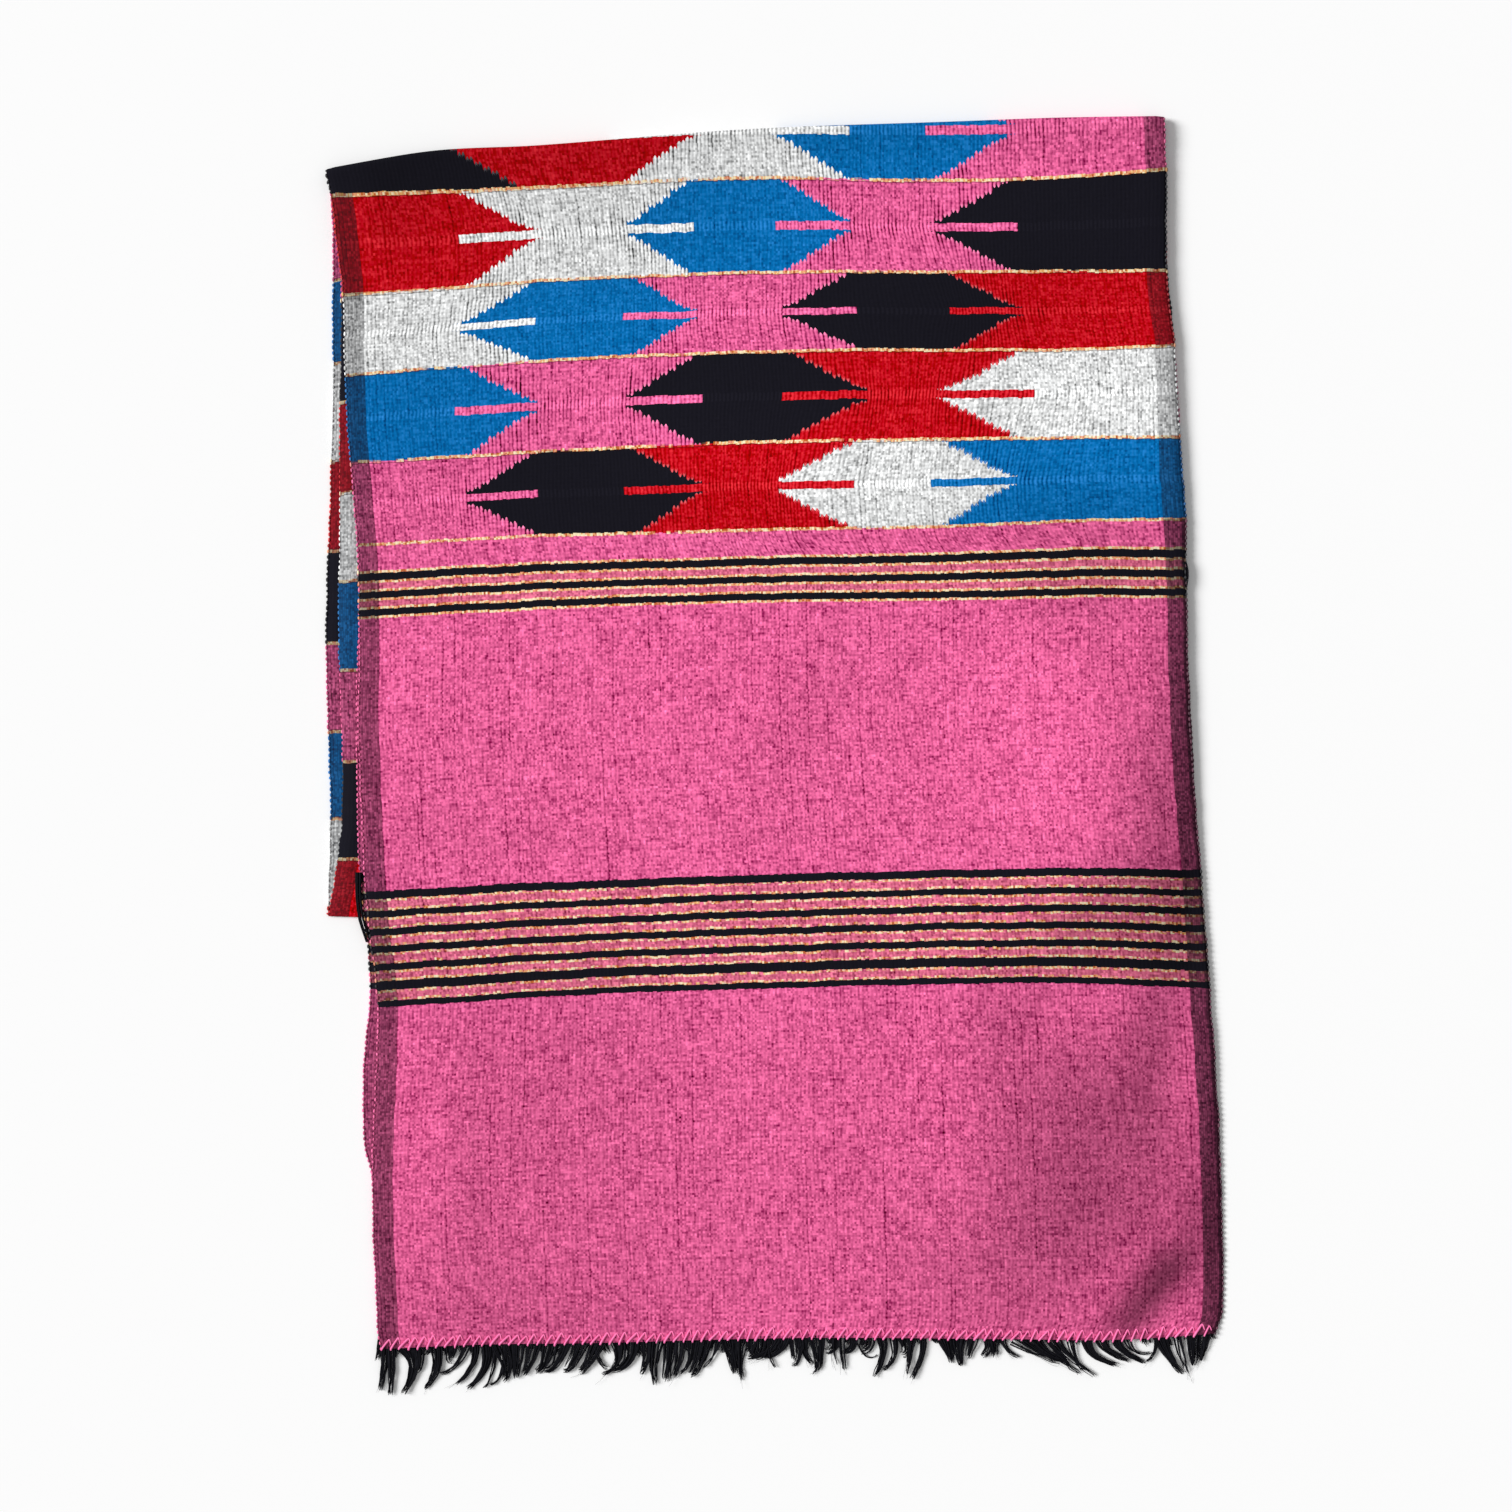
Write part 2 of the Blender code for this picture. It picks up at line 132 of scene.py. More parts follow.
# where pattern rows cross the hidden layers' left edges, in mm: y, woven length
lowerCourses = np.array([
    (-88.7, 1076.5), (-83.2, 1070.9), (-34.9, 1022.6), (12.9, 974.3), (61.2, 926.0),
    (111.7, 877.7), (160.6, 829.4), (214.4, 781.1), (260.0, 732.8), (318.0, 676.0),
]) * mm
upperCourses = np.array([
    (-88.7, 1076.5), (-57.4, 1119.2), (-3.6, 1167.5), (45.8, 1215.8), (94.7, 1264.1),
    (143.0, 1312.4), (192.4, 1360.7), (318.0, 1468.0),
]) * mm

# soft ridges and troughs of the front panel, in mm: middle x and y, lean from +Y in degrees,
# length, width, height
ridgeTable = np.array([
    (180, 10, -9, 170, 40, 2.9), (112, -205, -6, 160, 36, 3.0), (226, -215, 2, 140, 20, 1.9),
    (-178, -225, 2, 120, 24, 1.1), (-20, 30, 40, 120, 50, 1.2), (50, 250, 80, 170, 40, 1.2),
    (-60, -285, 84, 130, 26, 0.9), (-225, 300, 25, 40, 22, 1.2),
])
creaseTable = np.array([
    (-158, -215, -3, 150, 9, -0.45), (-101, -150, 2, 110, 8, -0.40), (-70, -250, 6, 90, 9, -0.36),
    (10, -165, -14, 70, 11, -0.46), (-20, 40, 26, 130, 14, -0.50), (-130, 60, -4, 120, 10, 0.32),
    (60, 45, 12, 100, 12, 0.38), (205, 60, -4, 110, 9, 0.45), (150, -30, 72, 80, 12, 0.40),
    (140, -110, 58, 90, 14, -0.75), (180, -165, 20, 60, 14, -0.60), (60, -285, 80, 120, 10, 0.35),
    (-60, 150, 84, 90, 8, 0.24), (90, 195, 80, 110, 9, -0.30), (-170, 265, -20, 70, 9, 0.32),
    (150, 300, 75, 80, 8, 0.30), (-90, 310, 70, 90, 8, -0.30), (-205, -60, 3, 60, 8, 0.28),
    (20, -60, 88, 160, 7, 0.20), (-110, -35, 84, 120, 8, -0.26), (-120, -44, 87, 190, 9, -0.34),
    (207, -297, 39, 56, 11, -1.2), (192, -288, 39, 56, 12, 0.8), (-188, -130, 2, 90, 9, 0.3),
    (-40, -225, 4, 120, 10, 0.26), (70, -240, 8, 110, 12, 0.3), (-212, 40, 0, 160, 7, -0.3),
])

# painted shade where the front panel dips and along its turned edge and top fold, and painted
# highlight on a few ridges (the negative amounts), measured the same way, with how much
paintedShadeTable = np.array([
    (176, -213, -3, 120, 44, 0.24), (150, -245, 4, 190, 80, 0.15), (206, -296, 39, 66, 15, 0.55),
    (216, -15, -3, 230, 14, 0.20), (154, -112, 48, 130, 26, 0.17), (0, -235, 88, 520, 150, 0.07),
    (-140, -290, 88, 280, 70, 0.10), (128, -283, 84, 150, 60, 0.13), (163, 73, 80, 60, 40, 0.08),
    (-150, -245, 2, 210, 44, 0.06), (124, 12, -6, 130, 55, -0.06), (25, 30, 26, 130, 26, 0.06),
    (-190, 235, 0, 230, 70, 0.09), (-60, -43, 88, 240, 8, 0.06), (-176, -160, 2, 60, 26, 0.03),
    (222, -170, 0, 110, 12, -0.06), (230, -235, 0, 90, 14, 0.16), (20, 343, 88, 560, 24, 0.15),
    (-100, 300, 0, 90, 80, 0.12), (150, 245, 0, 60, 80, 0.08), (160, 112, -10, 90, 70, 0.12),
    (209, -72, -5, 180, 26, 0.29), (180, -84, 30, 70, 38, 0.17), (212, -208, 0, 170, 22, 0.22),
    (200, -172, 0, 90, 34, 0.10), (190, 114, 0, 70, 40, 0.08), (182, 186, 88, 60, 60, -0.06),
    (234, -276, 0, 90, 14, 0.20), (-90, 322, 0, 70, 130, 0.06), (-208, 318, 0, 90, 30, 0.12),
    (-188, -70, 0, 180, 70, 0.06), (-100, -168, 0, 120, 60, 0.09), (60, 122, 88, 260, 30, 0.05),
    (-135, -312, 88, 140, 28, 0.09), (-20, 172, 88, 130, 40, -0.10), (-215, 95, 0, 60, 40, 0.05),
])

panelMesh = {
    "frontColumns": 150,
    "frontRows": 250,
    "backColumns": 56,
    "backRows": 220,
    "hiddenColumns": 44,
    "hiddenRows": 150,
    "turnSteps": 12,
    "edgeShare": 0.55,              # how much of its thickness the cloth keeps at its edges
    "edgeWander": 0.35 * mm,        # unevenness of the woven edges
    "longWander": 0.6,              # its slower part, against the quick one
    "surfaceWander": 0.10 * mm,
    "edgeCrowding": 0.28,           # how much closer the columns stand at the edges
    "foldBlend": 0.03,              # where the lift of the top fold starts
}

thickness = folding["clothThickness"]
carriedHeight = folding["hiddenHeight"] + folding["layerGap"]   # where a panel lies on both


def smooth(value):
    value = np.clip(value, 0.0, 1.0)
    return value * value * (3.0 - 2.0 * value)


def bend(share, run, first, firstSlope, last, lastSlope):  # a cubic from one value to the next
    rest = 1 - share
    return ((1 + 2 * share) * rest ** 2 * first + share * rest ** 2 * run * firstSlope
            + share * share * (3 - 2 * share) * last - share * share * rest * run * lastSlope)


def throughPoints(places, values, at):  # a smooth curve through rising places, read anywhere
    places, values = np.asarray(places, float), np.asarray(values, float)
    at = np.clip(at, places[0], places[-1])
    slopes = np.empty_like(values)
    slopes[1:-1] = (values[2:] - values[:-2]) / (places[2:] - places[:-2])
    slopes[[0, -1]] = (np.diff(values) / np.diff(places))[[0, -1]]
    k = np.clip(np.searchsorted(places, at, side="left") - 1, 0, len(places) - 2)
    run = places[k + 1] - places[k]
    return bend((at - places[k]) / run, run, values[k], slopes[k], values[k + 1], slopes[k + 1])


def wander(seed, at, pitch):  # smooth unevenness between -1 and 1, without a repeat
    knots = np.random.default_rng(seed).uniform(-1, 1, 4096)
    place = np.asarray(at) / pitch + 1000
    k = np.floor(place).astype(int) % 4095
    return knots[k] + smooth(place - np.floor(place)) * (knots[k + 1] - knots[k])


def courseY(x, woven, setback=0.0, hemOffset=0.0):  # how far up a weft thread lies at x
    places, columns = frontCourses[:, 0], frontCourses.T[1:]
    left, right, *ys = (throughPoints(places, column, woven) for column in columns)
    across = np.clip((x - left) / (right - left), 0.0, 1.0)
    y = np.empty(np.shape(x))
    for k in range(len(coursePlaces) - 1):
        here = (across >= coursePlaces[k]) & (across <= coursePlaces[k + 1])
        low, high = max(k - 1, 0), min(k + 2, len(coursePlaces) - 1)
        first = (ys[k + 1] - ys[low]) / (coursePlaces[k + 1] - coursePlaces[low])
        last = (ys[high] - ys[k]) / (coursePlaces[high] - coursePlaces[k])
        run = coursePlaces[k + 1] - coursePlaces[k]
        part = bend((across - coursePlaces[k]) / run, run, ys[k], first, ys[k + 1], last)
        y = np.where(here, part, y)
    share = woven / cloth["panelLength"]
    return y - share ** 8 * setback + (1 - share ** 4) * hemOffset


def onHiddenLayers(x, y, drop, sideDrop):  # 1 where the hidden layers carry a panel
    right = throughPoints(hiddenEdges[:, 0], hiddenEdges[:, 4], y) + folding["sideClearance"]
    return smooth(1 - (folding["halfFoldY"] - y) / drop) * smooth(1 - (x - right) / sideDrop)


def reliefOf(table, x, y):  # the sum of a table's soft ridges and troughs
    height = np.zeros(np.shape(x))
    for px, py, lean, length, width, rise in table:
        lean = math.radians(lean)
        dx, dy = x - px * mm, y - py * mm
        along = dx * math.sin(lean) + dy * math.cos(lean)
        beside = dx * math.cos(lean) - dy * math.sin(lean)
        reach = (2 * along / (length * mm)) ** 4 + (1.2 * beside / (width * mm)) ** 2
        height += rise * mm * np.exp(-reach)
    return height


def backUnderside(x, y):
    return onHiddenLayers(x, y, folding["backDrop"], folding["backSideDrop"]) * carriedHeight


def frontUnderside(x, y):
    low, high = frontCourses[0, 6], frontCourses[-1, 6]
    woven = cloth["panelLength"] * (y - low) / (high - low)
    beyond = x - throughPoints(backEdges[:, 0], backEdges[:, 2], woven) - folding["seamGap"]
    onBack = smooth(1 - beyond / folding["edgeDrop"])
    carried = onHiddenLayers(x, y, folding["frontDrop"], folding["frontSideDrop"])
    ridges = reliefOf(ridgeTable, x, y)
    creases = np.maximum(reliefOf(creaseTable, x, y), -ridges - 0.7 * folding["layerGap"])
    lifted = np.maximum(carried * carriedHeight + ridges + creases, 0.0)
    return lifted + onBack * (thickness + folding["layerGap"])


def acrossPlaces(count):  # closer together towards both edges
    even = np.linspace(0, 1, count + 1)
    crowded = 0.5 - 0.5 * np.cos(math.pi * even)
    share = panelMesh["edgeCrowding"]
    return (1 - share) * even + share * crowded


def addObject(name, data):
    obj = bpy.data.objects.new(name, data)
    bpy.context.scene.collection.objects.link(obj)
    return obj


def addGrid(name, places, material, charted, paintedShadeValues=None):  # a sheet from a grid of places
    rows, columns = places.shape[:2]
    j, i = np.meshgrid(np.arange(rows - 1), np.arange(columns - 1), indexing="ij")
    corner = (j * columns + i).ravel()
    faces = np.stack([corner, corner + 1, corner + columns + 1, corner + columns], axis=1)
    mesh = bpy.data.meshes.new(name)
    mesh.from_pydata(places.reshape(-1, 3).tolist(), [], faces.tolist())
    layer = mesh.uv_layers.new(name="clothMap")
    corners = np.empty(len(mesh.loops), dtype=np.int32)
    mesh.loops.foreach_get("vertex_index", corners)
    layer.uv.foreach_set("vector", charted.reshape(-1, 2)[corners].astype(np.float32).ravel())
    # painted shade and highlight, when given, kept per point for the cloth material
    if paintedShadeValues is not None:
        layer = mesh.attributes.new("paintedShade", "FLOAT", "POINT")
        layer.data.foreach_set("value", paintedShadeValues.astype(np.float32).ravel())
    mesh.materials.append(material)
    mesh.shade_smooth()
    return thicken(addObject(name, mesh), rows, columns)


def applyModifiers(obj):
    bpy.context.view_layer.update()
    evaluated = obj.evaluated_get(bpy.context.evaluated_depsgraph_get())
    mesh = bpy.data.meshes.new_from_object(evaluated)
    old = obj.data
    obj.modifiers.clear()
    obj.data = mesh
    bpy.data.meshes.remove(old)
    mesh.name = obj.name
    return obj


def thicken(obj, rows, columns):  # grows outwards from the face that was modelled
    group = obj.vertex_groups.new(name="thickness")
    edgeShare = panelMesh["edgeShare"]
    for step, weight in ((0, edgeShare), (1, 0.5 + 0.5 * edgeShare)):
        picked = [j * columns + i for j in range(rows) for i in (step, columns - 1 - step)]
        group.add(picked, weight, "REPLACE")
    inner = [j * columns + i for j in range(rows) for i in range(2, columns - 2)]
    group.add(inner, 1.0, "REPLACE")
    wall = obj.modifiers.new("cloth wall", "SOLIDIFY")
    wall.thickness = thickness
    wall.offset = 1.0
    wall.vertex_group = "thickness"
    applyModifiers(obj)
    obj.vertex_groups.clear()
    return obj


# small shifts of the hexagons' corners in the front rows, as the weaver's hand left them,
# in mm: one line for each row from the bottom, one value for each place in cornerPlaces
cornerPlaces = np.array((0, 66, 104, 159, 196, 246.5, 284, 334, 374, 460)) * mm
cornerShifts = np.array([
    (0, -3.9, -3.5, -4.5, -5.1, -12.8, -8.0, -11.0, -10.9, 0),
    (0, -2.2, 0.1, -4.3, -1.0, -0.6, 3.3, -4.1, 3.1, 0),
    (0, -1.6, 0.6, 1.3, -1.6, -2.7, -0.8, 8.0, -0.4, 0),
    (0, 6.7, 4.0, 3.1, -0.1, 1.5, -1.0, -3.1, -1.0, 0),
    (0, 1.4, -1.9, 1.5, 3.6, 0.5, 1.0, -1.8, -0.8, 0),
]) * mm


def chartedAcross(across, woven):  # where on the chart a place on the front panel lies
    row = (woven - cloth["patternStart"]) / cloth["rowHeight"] - 0.5
    share = smooth(row / 0.5 + 2.0) * (row <= len(cornerShifts))
    row = np.clip(row, 0, len(cornerShifts) - 1)
    k = np.minimum(row.astype(int), len(cornerShifts) - 2)
    shift = np.zeros(np.shape(across))
    for n in range(len(cornerShifts) - 1):
        low, high = (np.interp(across, cornerPlaces, cornerShifts[n + i]) for i in (0, 1))
        shift = np.where(k == n, low + (row - n) * (high - low), shift)
    return across - shift * share


def edgeWander(seed, woven, quick, slow):
    slowPart = panelMesh["longWander"] * wander(seed + 1, woven, slow)
    return panelMesh["edgeWander"] * (wander(seed, woven, quick) + slowPart)


def makePanel(name, edges, underside, fold, rows, columns, seed):
    across = acrossPlaces(columns - 1)[None, :]
    woven = np.linspace(0, cloth["panelLength"], rows)[:, None]
    low, high = (throughPoints(edges[:, 0], edges[:, k], woven) for k in (1, 2))
    low = low + edgeWander(seed, woven, 7 * mm, 21 * mm)
    high = high + edgeWander(seed + 2, woven, 6 * mm, 17 * mm)
    x = low + across * (high - low)
    setback = fold["setback"] + thickness + fold["reach"]
    y = courseY(x, woven + 0 * x, setback, fold["hemOffset"])
    blend = panelMesh["foldBlend"]
    nearFold = smooth((woven - (cloth["panelLength"] - blend)) / blend)
    z = underside(x, y) + nearFold * fold["lift"]
    waves = wander(seed + 4, x + 0.31 * y, 13 * mm) * wander(seed + 5, y - 0.2 * x, 17 * mm)
    z = z + panelMesh["surfaceWander"] * (1 + waves)
    xs, ys, zs, charted = [x], [y], [z], [woven + 0 * x]
    lastY, lastZ, bottom = y[-1], z[-1], fold["bottom"]
    middle, half = (lastZ + bottom) / 2, (lastZ - bottom) / 2
    steps = panelMesh["turnSteps"]
    arc = math.pi * math.sqrt((fold["reach"] ** 2 + float(np.mean(half)) ** 2) / 2)
    if not fold["otherEnd"]:
        last = frontCourses[-2, 0]
        beyond = np.clip((woven - last) / (cloth["panelLength"] - last), 0, 1)
        atTurn = throughPoints(coursePlaces, foldLengths, across) - 0.5 * arc
        charted[0] += beyond * (atTurn - cloth["panelLength"])
    for i in range(1, steps + 1):
        turn = math.pi * (0.5 - i / steps)
        xs.append(x[-1:])
        ys.append((lastY + fold["reach"] * math.cos(turn))[None, :])
        zs.append((middle + half * math.sin(turn))[None, :])
        charted.append(charted[0][-1:] + arc * i / steps)
    xs.append(x[-1:])
    ys.append((lastY - folding["foldTail"])[None, :])
    zs.append(np.full((1, columns), bottom))
    charted.append(charted[-1] + folding["foldTail"])
    x, y, z, length = (np.concatenate(part) for part in (xs, ys, zs, charted))
    sideways = across * cloth["width"] + 0 * length
    paintedShadeValues = None
    if fold["otherEnd"]:
        length = cloth["length"] - length
    else:
        sideways = chartedAcross(sideways, length)
        # painted shade in the front panel's dips and along its turned edge, painted highlight on a
        # few ridges
        paintedShadeValues = reliefOf(paintedShadeTable, x, y) / mm
    chartPlaces = np.stack([sideways, length], axis=2)
    obj = addGrid(name, np.stack([x, y, z], axis=2), clothMaterial, chartPlaces, paintedShadeValues)
    return obj, np.stack([x, y, z + thickness], axis=2), length


# nodes: helpers for materials and Geometry Nodes alike


def feed(made, sockets):  # values, or links from other nodes, into a node's inputs
    for name, value in sockets.items():
        if isinstance(value, bpy.types.Node):
            value = value.outputs[0]
        if isinstance(value, Wire):
            value = value.socket
        if isinstance(value, bpy.types.NodeSocket):
            made.id_data.links.new(value, made.inputs[name])
        else:
            made.inputs[name].default_value = value


def node(tree, kind, sockets=None, **settings):
    made = tree.nodes.new(kind)
    for name, value in settings.items():
        setattr(made, name, value)
    feed(made, sockets or {})
    return made


def wireOf(tree, kind, sockets=None, output=0, **settings):
    return Wire(tree, node(tree, kind, sockets, **settings).outputs[output])


class Wire:  # a socket that takes part in sums
    def __init__(self, tree, socket):
        self.tree, self.socket = tree, socket

    def math(self, operation, *others, **settings):
        inputs = dict(enumerate((self, *others)))
        return wireOf(self.tree, "ShaderNodeMath", inputs, operation=operation, **settings)

    __add__ = __radd__ = partialmethod(math, "ADD")
    __sub__ = partialmethod(math, "SUBTRACT")
    __mul__ = __rmul__ = partialmethod(math, "MULTIPLY")
    __truediv__ = partialmethod(math, "DIVIDE")
    floor = partialmethod(math, "FLOOR")
    fract = partialmethod(math, "FRACT")
    size = partialmethod(math, "ABSOLUTE")
    least = partialmethod(math, "MINIMUM")
    below = partialmethod(math, "LESS_THAN")
    above = partialmethod(math, "GREATER_THAN")
    held = partialmethod(math, "ADD", 0.0, use_clamp=True)   # kept between 0 and 1

    def __rsub__(self, other):
        return self * -1.0 + other

    def between(self, low, high):
        return self.above(low) * self.below(high)

    def wave(self):  # 0 at each whole number, 1 halfway
        return 0.5 - 0.5 * (self * math.tau).math("COSINE")

    def vector(self, operation, other):
        inputs = {0: self, "Scale" if operation == "SCALE" else 1: other}
        return wireOf(self.tree, "ShaderNodeVectorMath", inputs, operation=operation)


def wiresOf(made):  # a node's outputs by name
    return {slot.name: Wire(made.id_data, slot) for slot in made.outputs}


def joined(tree, x=0.0, y=0.0, z=0.0):
    return wireOf(tree, "ShaderNodeCombineXYZ", {"X": x, "Y": y, "Z": z})


def total(wires):
    first, *rest = wires
    for wire in rest:
        first = first + wire
    return first


def noiseOf(x, y, scaleX, scaleY, detail=1.0, offset=0.0):  # soft noise, about 0 to 1
    inputs = {"Vector": joined(x.tree, x * scaleX, y * scaleY, offset),
              "Scale": 1.0, "Detail": detail}
    return wireOf(x.tree, "ShaderNodeTexNoise", inputs, "Fac")


def chanceOf(x, y):  # an unrelated value for each whole x and y
    inputs = {"Vector": joined(x.tree, x, y)}
    return wireOf(x.tree, "ShaderNodeTexWhiteNoise", inputs, "Value", noise_dimensions="2D")


def mixColour(share, first, second):
    inputs = {0: share, 6: first, 7: second}
    tree = next(value.tree for value in inputs.values() if isinstance(value, Wire))
    return wireOf(tree, "ShaderNodeMix", inputs, 2, data_type="RGBA")


def rampOf(value, stops, steady=False):
    made = node(value.tree, "ShaderNodeValToRGB", {"Fac": value})
    ramp = made.color_ramp
    ramp.interpolation = "CONSTANT" if steady else "LINEAR"
    while len(ramp.elements) < len(stops):
        ramp.elements.new(0.5)
    for element, (place, colour) in zip(ramp.elements, stops):
        element.position = place
        element.color = colour
    return Wire(value.tree, made.outputs["Color"])


def partsOf(wire, kind, **settings):
    made = node(wire.tree, kind, {0: wire}, **settings)
    return [Wire(wire.tree, slot) for slot in made.outputs]


def hsvOf(colour):
    return partsOf(colour, "ShaderNodeSeparateColor", mode="HSV")


def newGroup(name, kind, inputs, outputs):  # sockets by name, each with a value or its kind
    tree = bpy.data.node_groups.new(name, kind)
    for way, sockets in (("INPUT", inputs), ("OUTPUT", outputs)):
        for label, value in sockets.items():
            known = isinstance(value, str)
            socket = value if known else "Int" if isinstance(value, int) else "Float"
            made = tree.interface.new_socket(label, in_out=way, socket_type="NodeSocket" + socket)
            if not known:
                made.default_value = value
    given = tree.nodes.new("NodeGroupInput")
    return tree, wiresOf(given), tree.nodes.new("NodeGroupOutput")


def tone(red, green, blue):  # a colour as seen on screen, 0 to 255, made linear
    seen = [c / 255 for c in (red, green, blue)]
    return (*(c / 12.92 if c < 0.04045 else ((c + 0.055) / 1.055) ** 2.4 for c in seen), 1.0)


dyes = {
    "pink": tone(226, 95, 149),
    "stripePink": tone(219, 104, 136),      # pink weft over the dark stripe warp
    "red": tone(193, 0, 24),
    "white": tone(223, 224, 224),
    "blue": tone(0, 108, 177),
    "black": tone(22, 21, 29),
    "gold": tone(240, 178, 92),
    "paleGold": tone(255, 240, 196),
    "deepGold": tone(196, 104, 44),
    "salmon": tone(250, 170, 140),
    "edgeGlow": (1.0, 0.9, 0.95, 1.0),
    "rowShadow": (0.02, 0.002, 0.002, 1.0),
    "fringe": tone(10, 10, 13),
    "fringeLight": tone(26, 26, 33),
    "stitch": tone(255, 112, 172),
    "stitchLight": tone(255, 140, 192),
}

# the five colours take turns, one further left in each row up
colourTurn = ("black", "red", "white", "blue", "pink")

chart = {
    "evenTips": (66, 196, 246.5, 374),      # mm from the left edge
    "oddTips": (104, 159, 284, 334),
    "ribPitch": 2.2 * mm,
    "ribsInStep": 2.0,                      # the slanted edges go up in steps of this many ribs
    "pickPitch": 2.35 * mm,
    "lowPickPitch": 3.0 * mm,               # the picks lie wider apart near the hems
    "lowPicksEnd": 223.5 * mm,
    "warpDrift": 1.2 * mm,
    "weftSway": 1.6 * mm,
    "weftJitter": 0.6 * mm,
    "toothShare": 0.062,                    # how far a tooth reaches, as a share of half a row
    "stepChance": 0.05,
    "dashHalfShare": 0.044,                 # half the dash's thickness as a share of a row
    "dashOvershoot": 0.085,
    "tipStart": 0.86,                       # from here to its tip a point runs out thin
    "tipReach": 0.065,                      # the points run on, thin, beside the dash
    "tipShift": 0.9 * mm,
    "goldHalf": 0.85 * mm,
    "goldShadow": 1.4 * mm,
    "beadLength": 2.8 * mm,                 # a gold thread's steps over the warp
    "selvedge": 11.0 * mm,
    "selvedgeShade": 0.31,
    "selvedgeFade": 0.10,                   # the left one gets lighter inwards
    # width of the painted shade at the right selvedge's rim
    "outermost": 2.3 * mm,
    "warpEndPitch": 1.1 * mm,
    "base": 1.05,                           # the weave's mean shade, and the unevenness on it
    "pleatShadeRibs": 4.2,                       # painted light and shade of fine folds: ribs stand out more behind the slanted edges
    "ribDepth": 0.10,
    "pickDepth": 0.08,
    "holeDepth": 0.13,
    "gapDepth": 0.36,
    "gapLength": 9 * mm,
    "longGapDepth": 0.34,
    "longGapLength": 75 * mm,
    "speckDepth": 0.66,
    "saltDepth": 0.24,
    "saltFrom": 0.92,                       # chance from which a thread is pale
    "longGapFrom": 0.93,
    "barDepth": 0.27,
    "rippleShadeDepth": 0.20,
    "edgeLight": 0.16,
    "edgeGlow": 0.08,
    "rowShadow": 0.55,
    "goldCover": 0.94,
    "darkest": 0.12,
    "glint": 0.10,
}

# broad unevenness: scale across and along, detail, offset, depth
unevenness = {
    "blotch": (150, 150, 2.0, 5.0, 0.14),
    "warpStreak": (430, 40, 1.0, 7.0, 0.46),
    "weftStreak": (30, 520, 1.0, 9.0, 0.36),
    "wide": (28, 9, 1.0, 11.0, 0.16),
}

# black stripes, in mm: middle, half the width, gold below and gold above (0 to 1)
stripes = (
    (194.0, 1.7, 0.0, 0.5), (204.0, 2.5, 0.5, 0.55), (214.0, 1.85, 0.55, 0.5),
    (223.5, 1.85, 0.55, 0.45), (232.6, 1.85, 0.5, 0.5), (242.0, 1.75, 0.55, 0.5),
    (252.0, 2.15, 0.5, 0.0), (406.0, 1.85, 1.0, 0.8), (415.6, 1.85, 0.8, 0.8),
    (425.5, 2.0, 0.8, 1.0),
)
stripeBands = ((194.0, 252.0), (406.0, 425.5))
stripeGoldWidth = 1.35 * mm


def addWeave(base, shade):  # lighter and darker threads, pale glints on bright dyes only
    glint = (shade - 1.04) * hsvOf(base)[2] * chart["glint"]
    return base.vector("SCALE", shade).vector("ADD", glint).vector("MAXIMUM", (0.0, 0.0, 0.0))


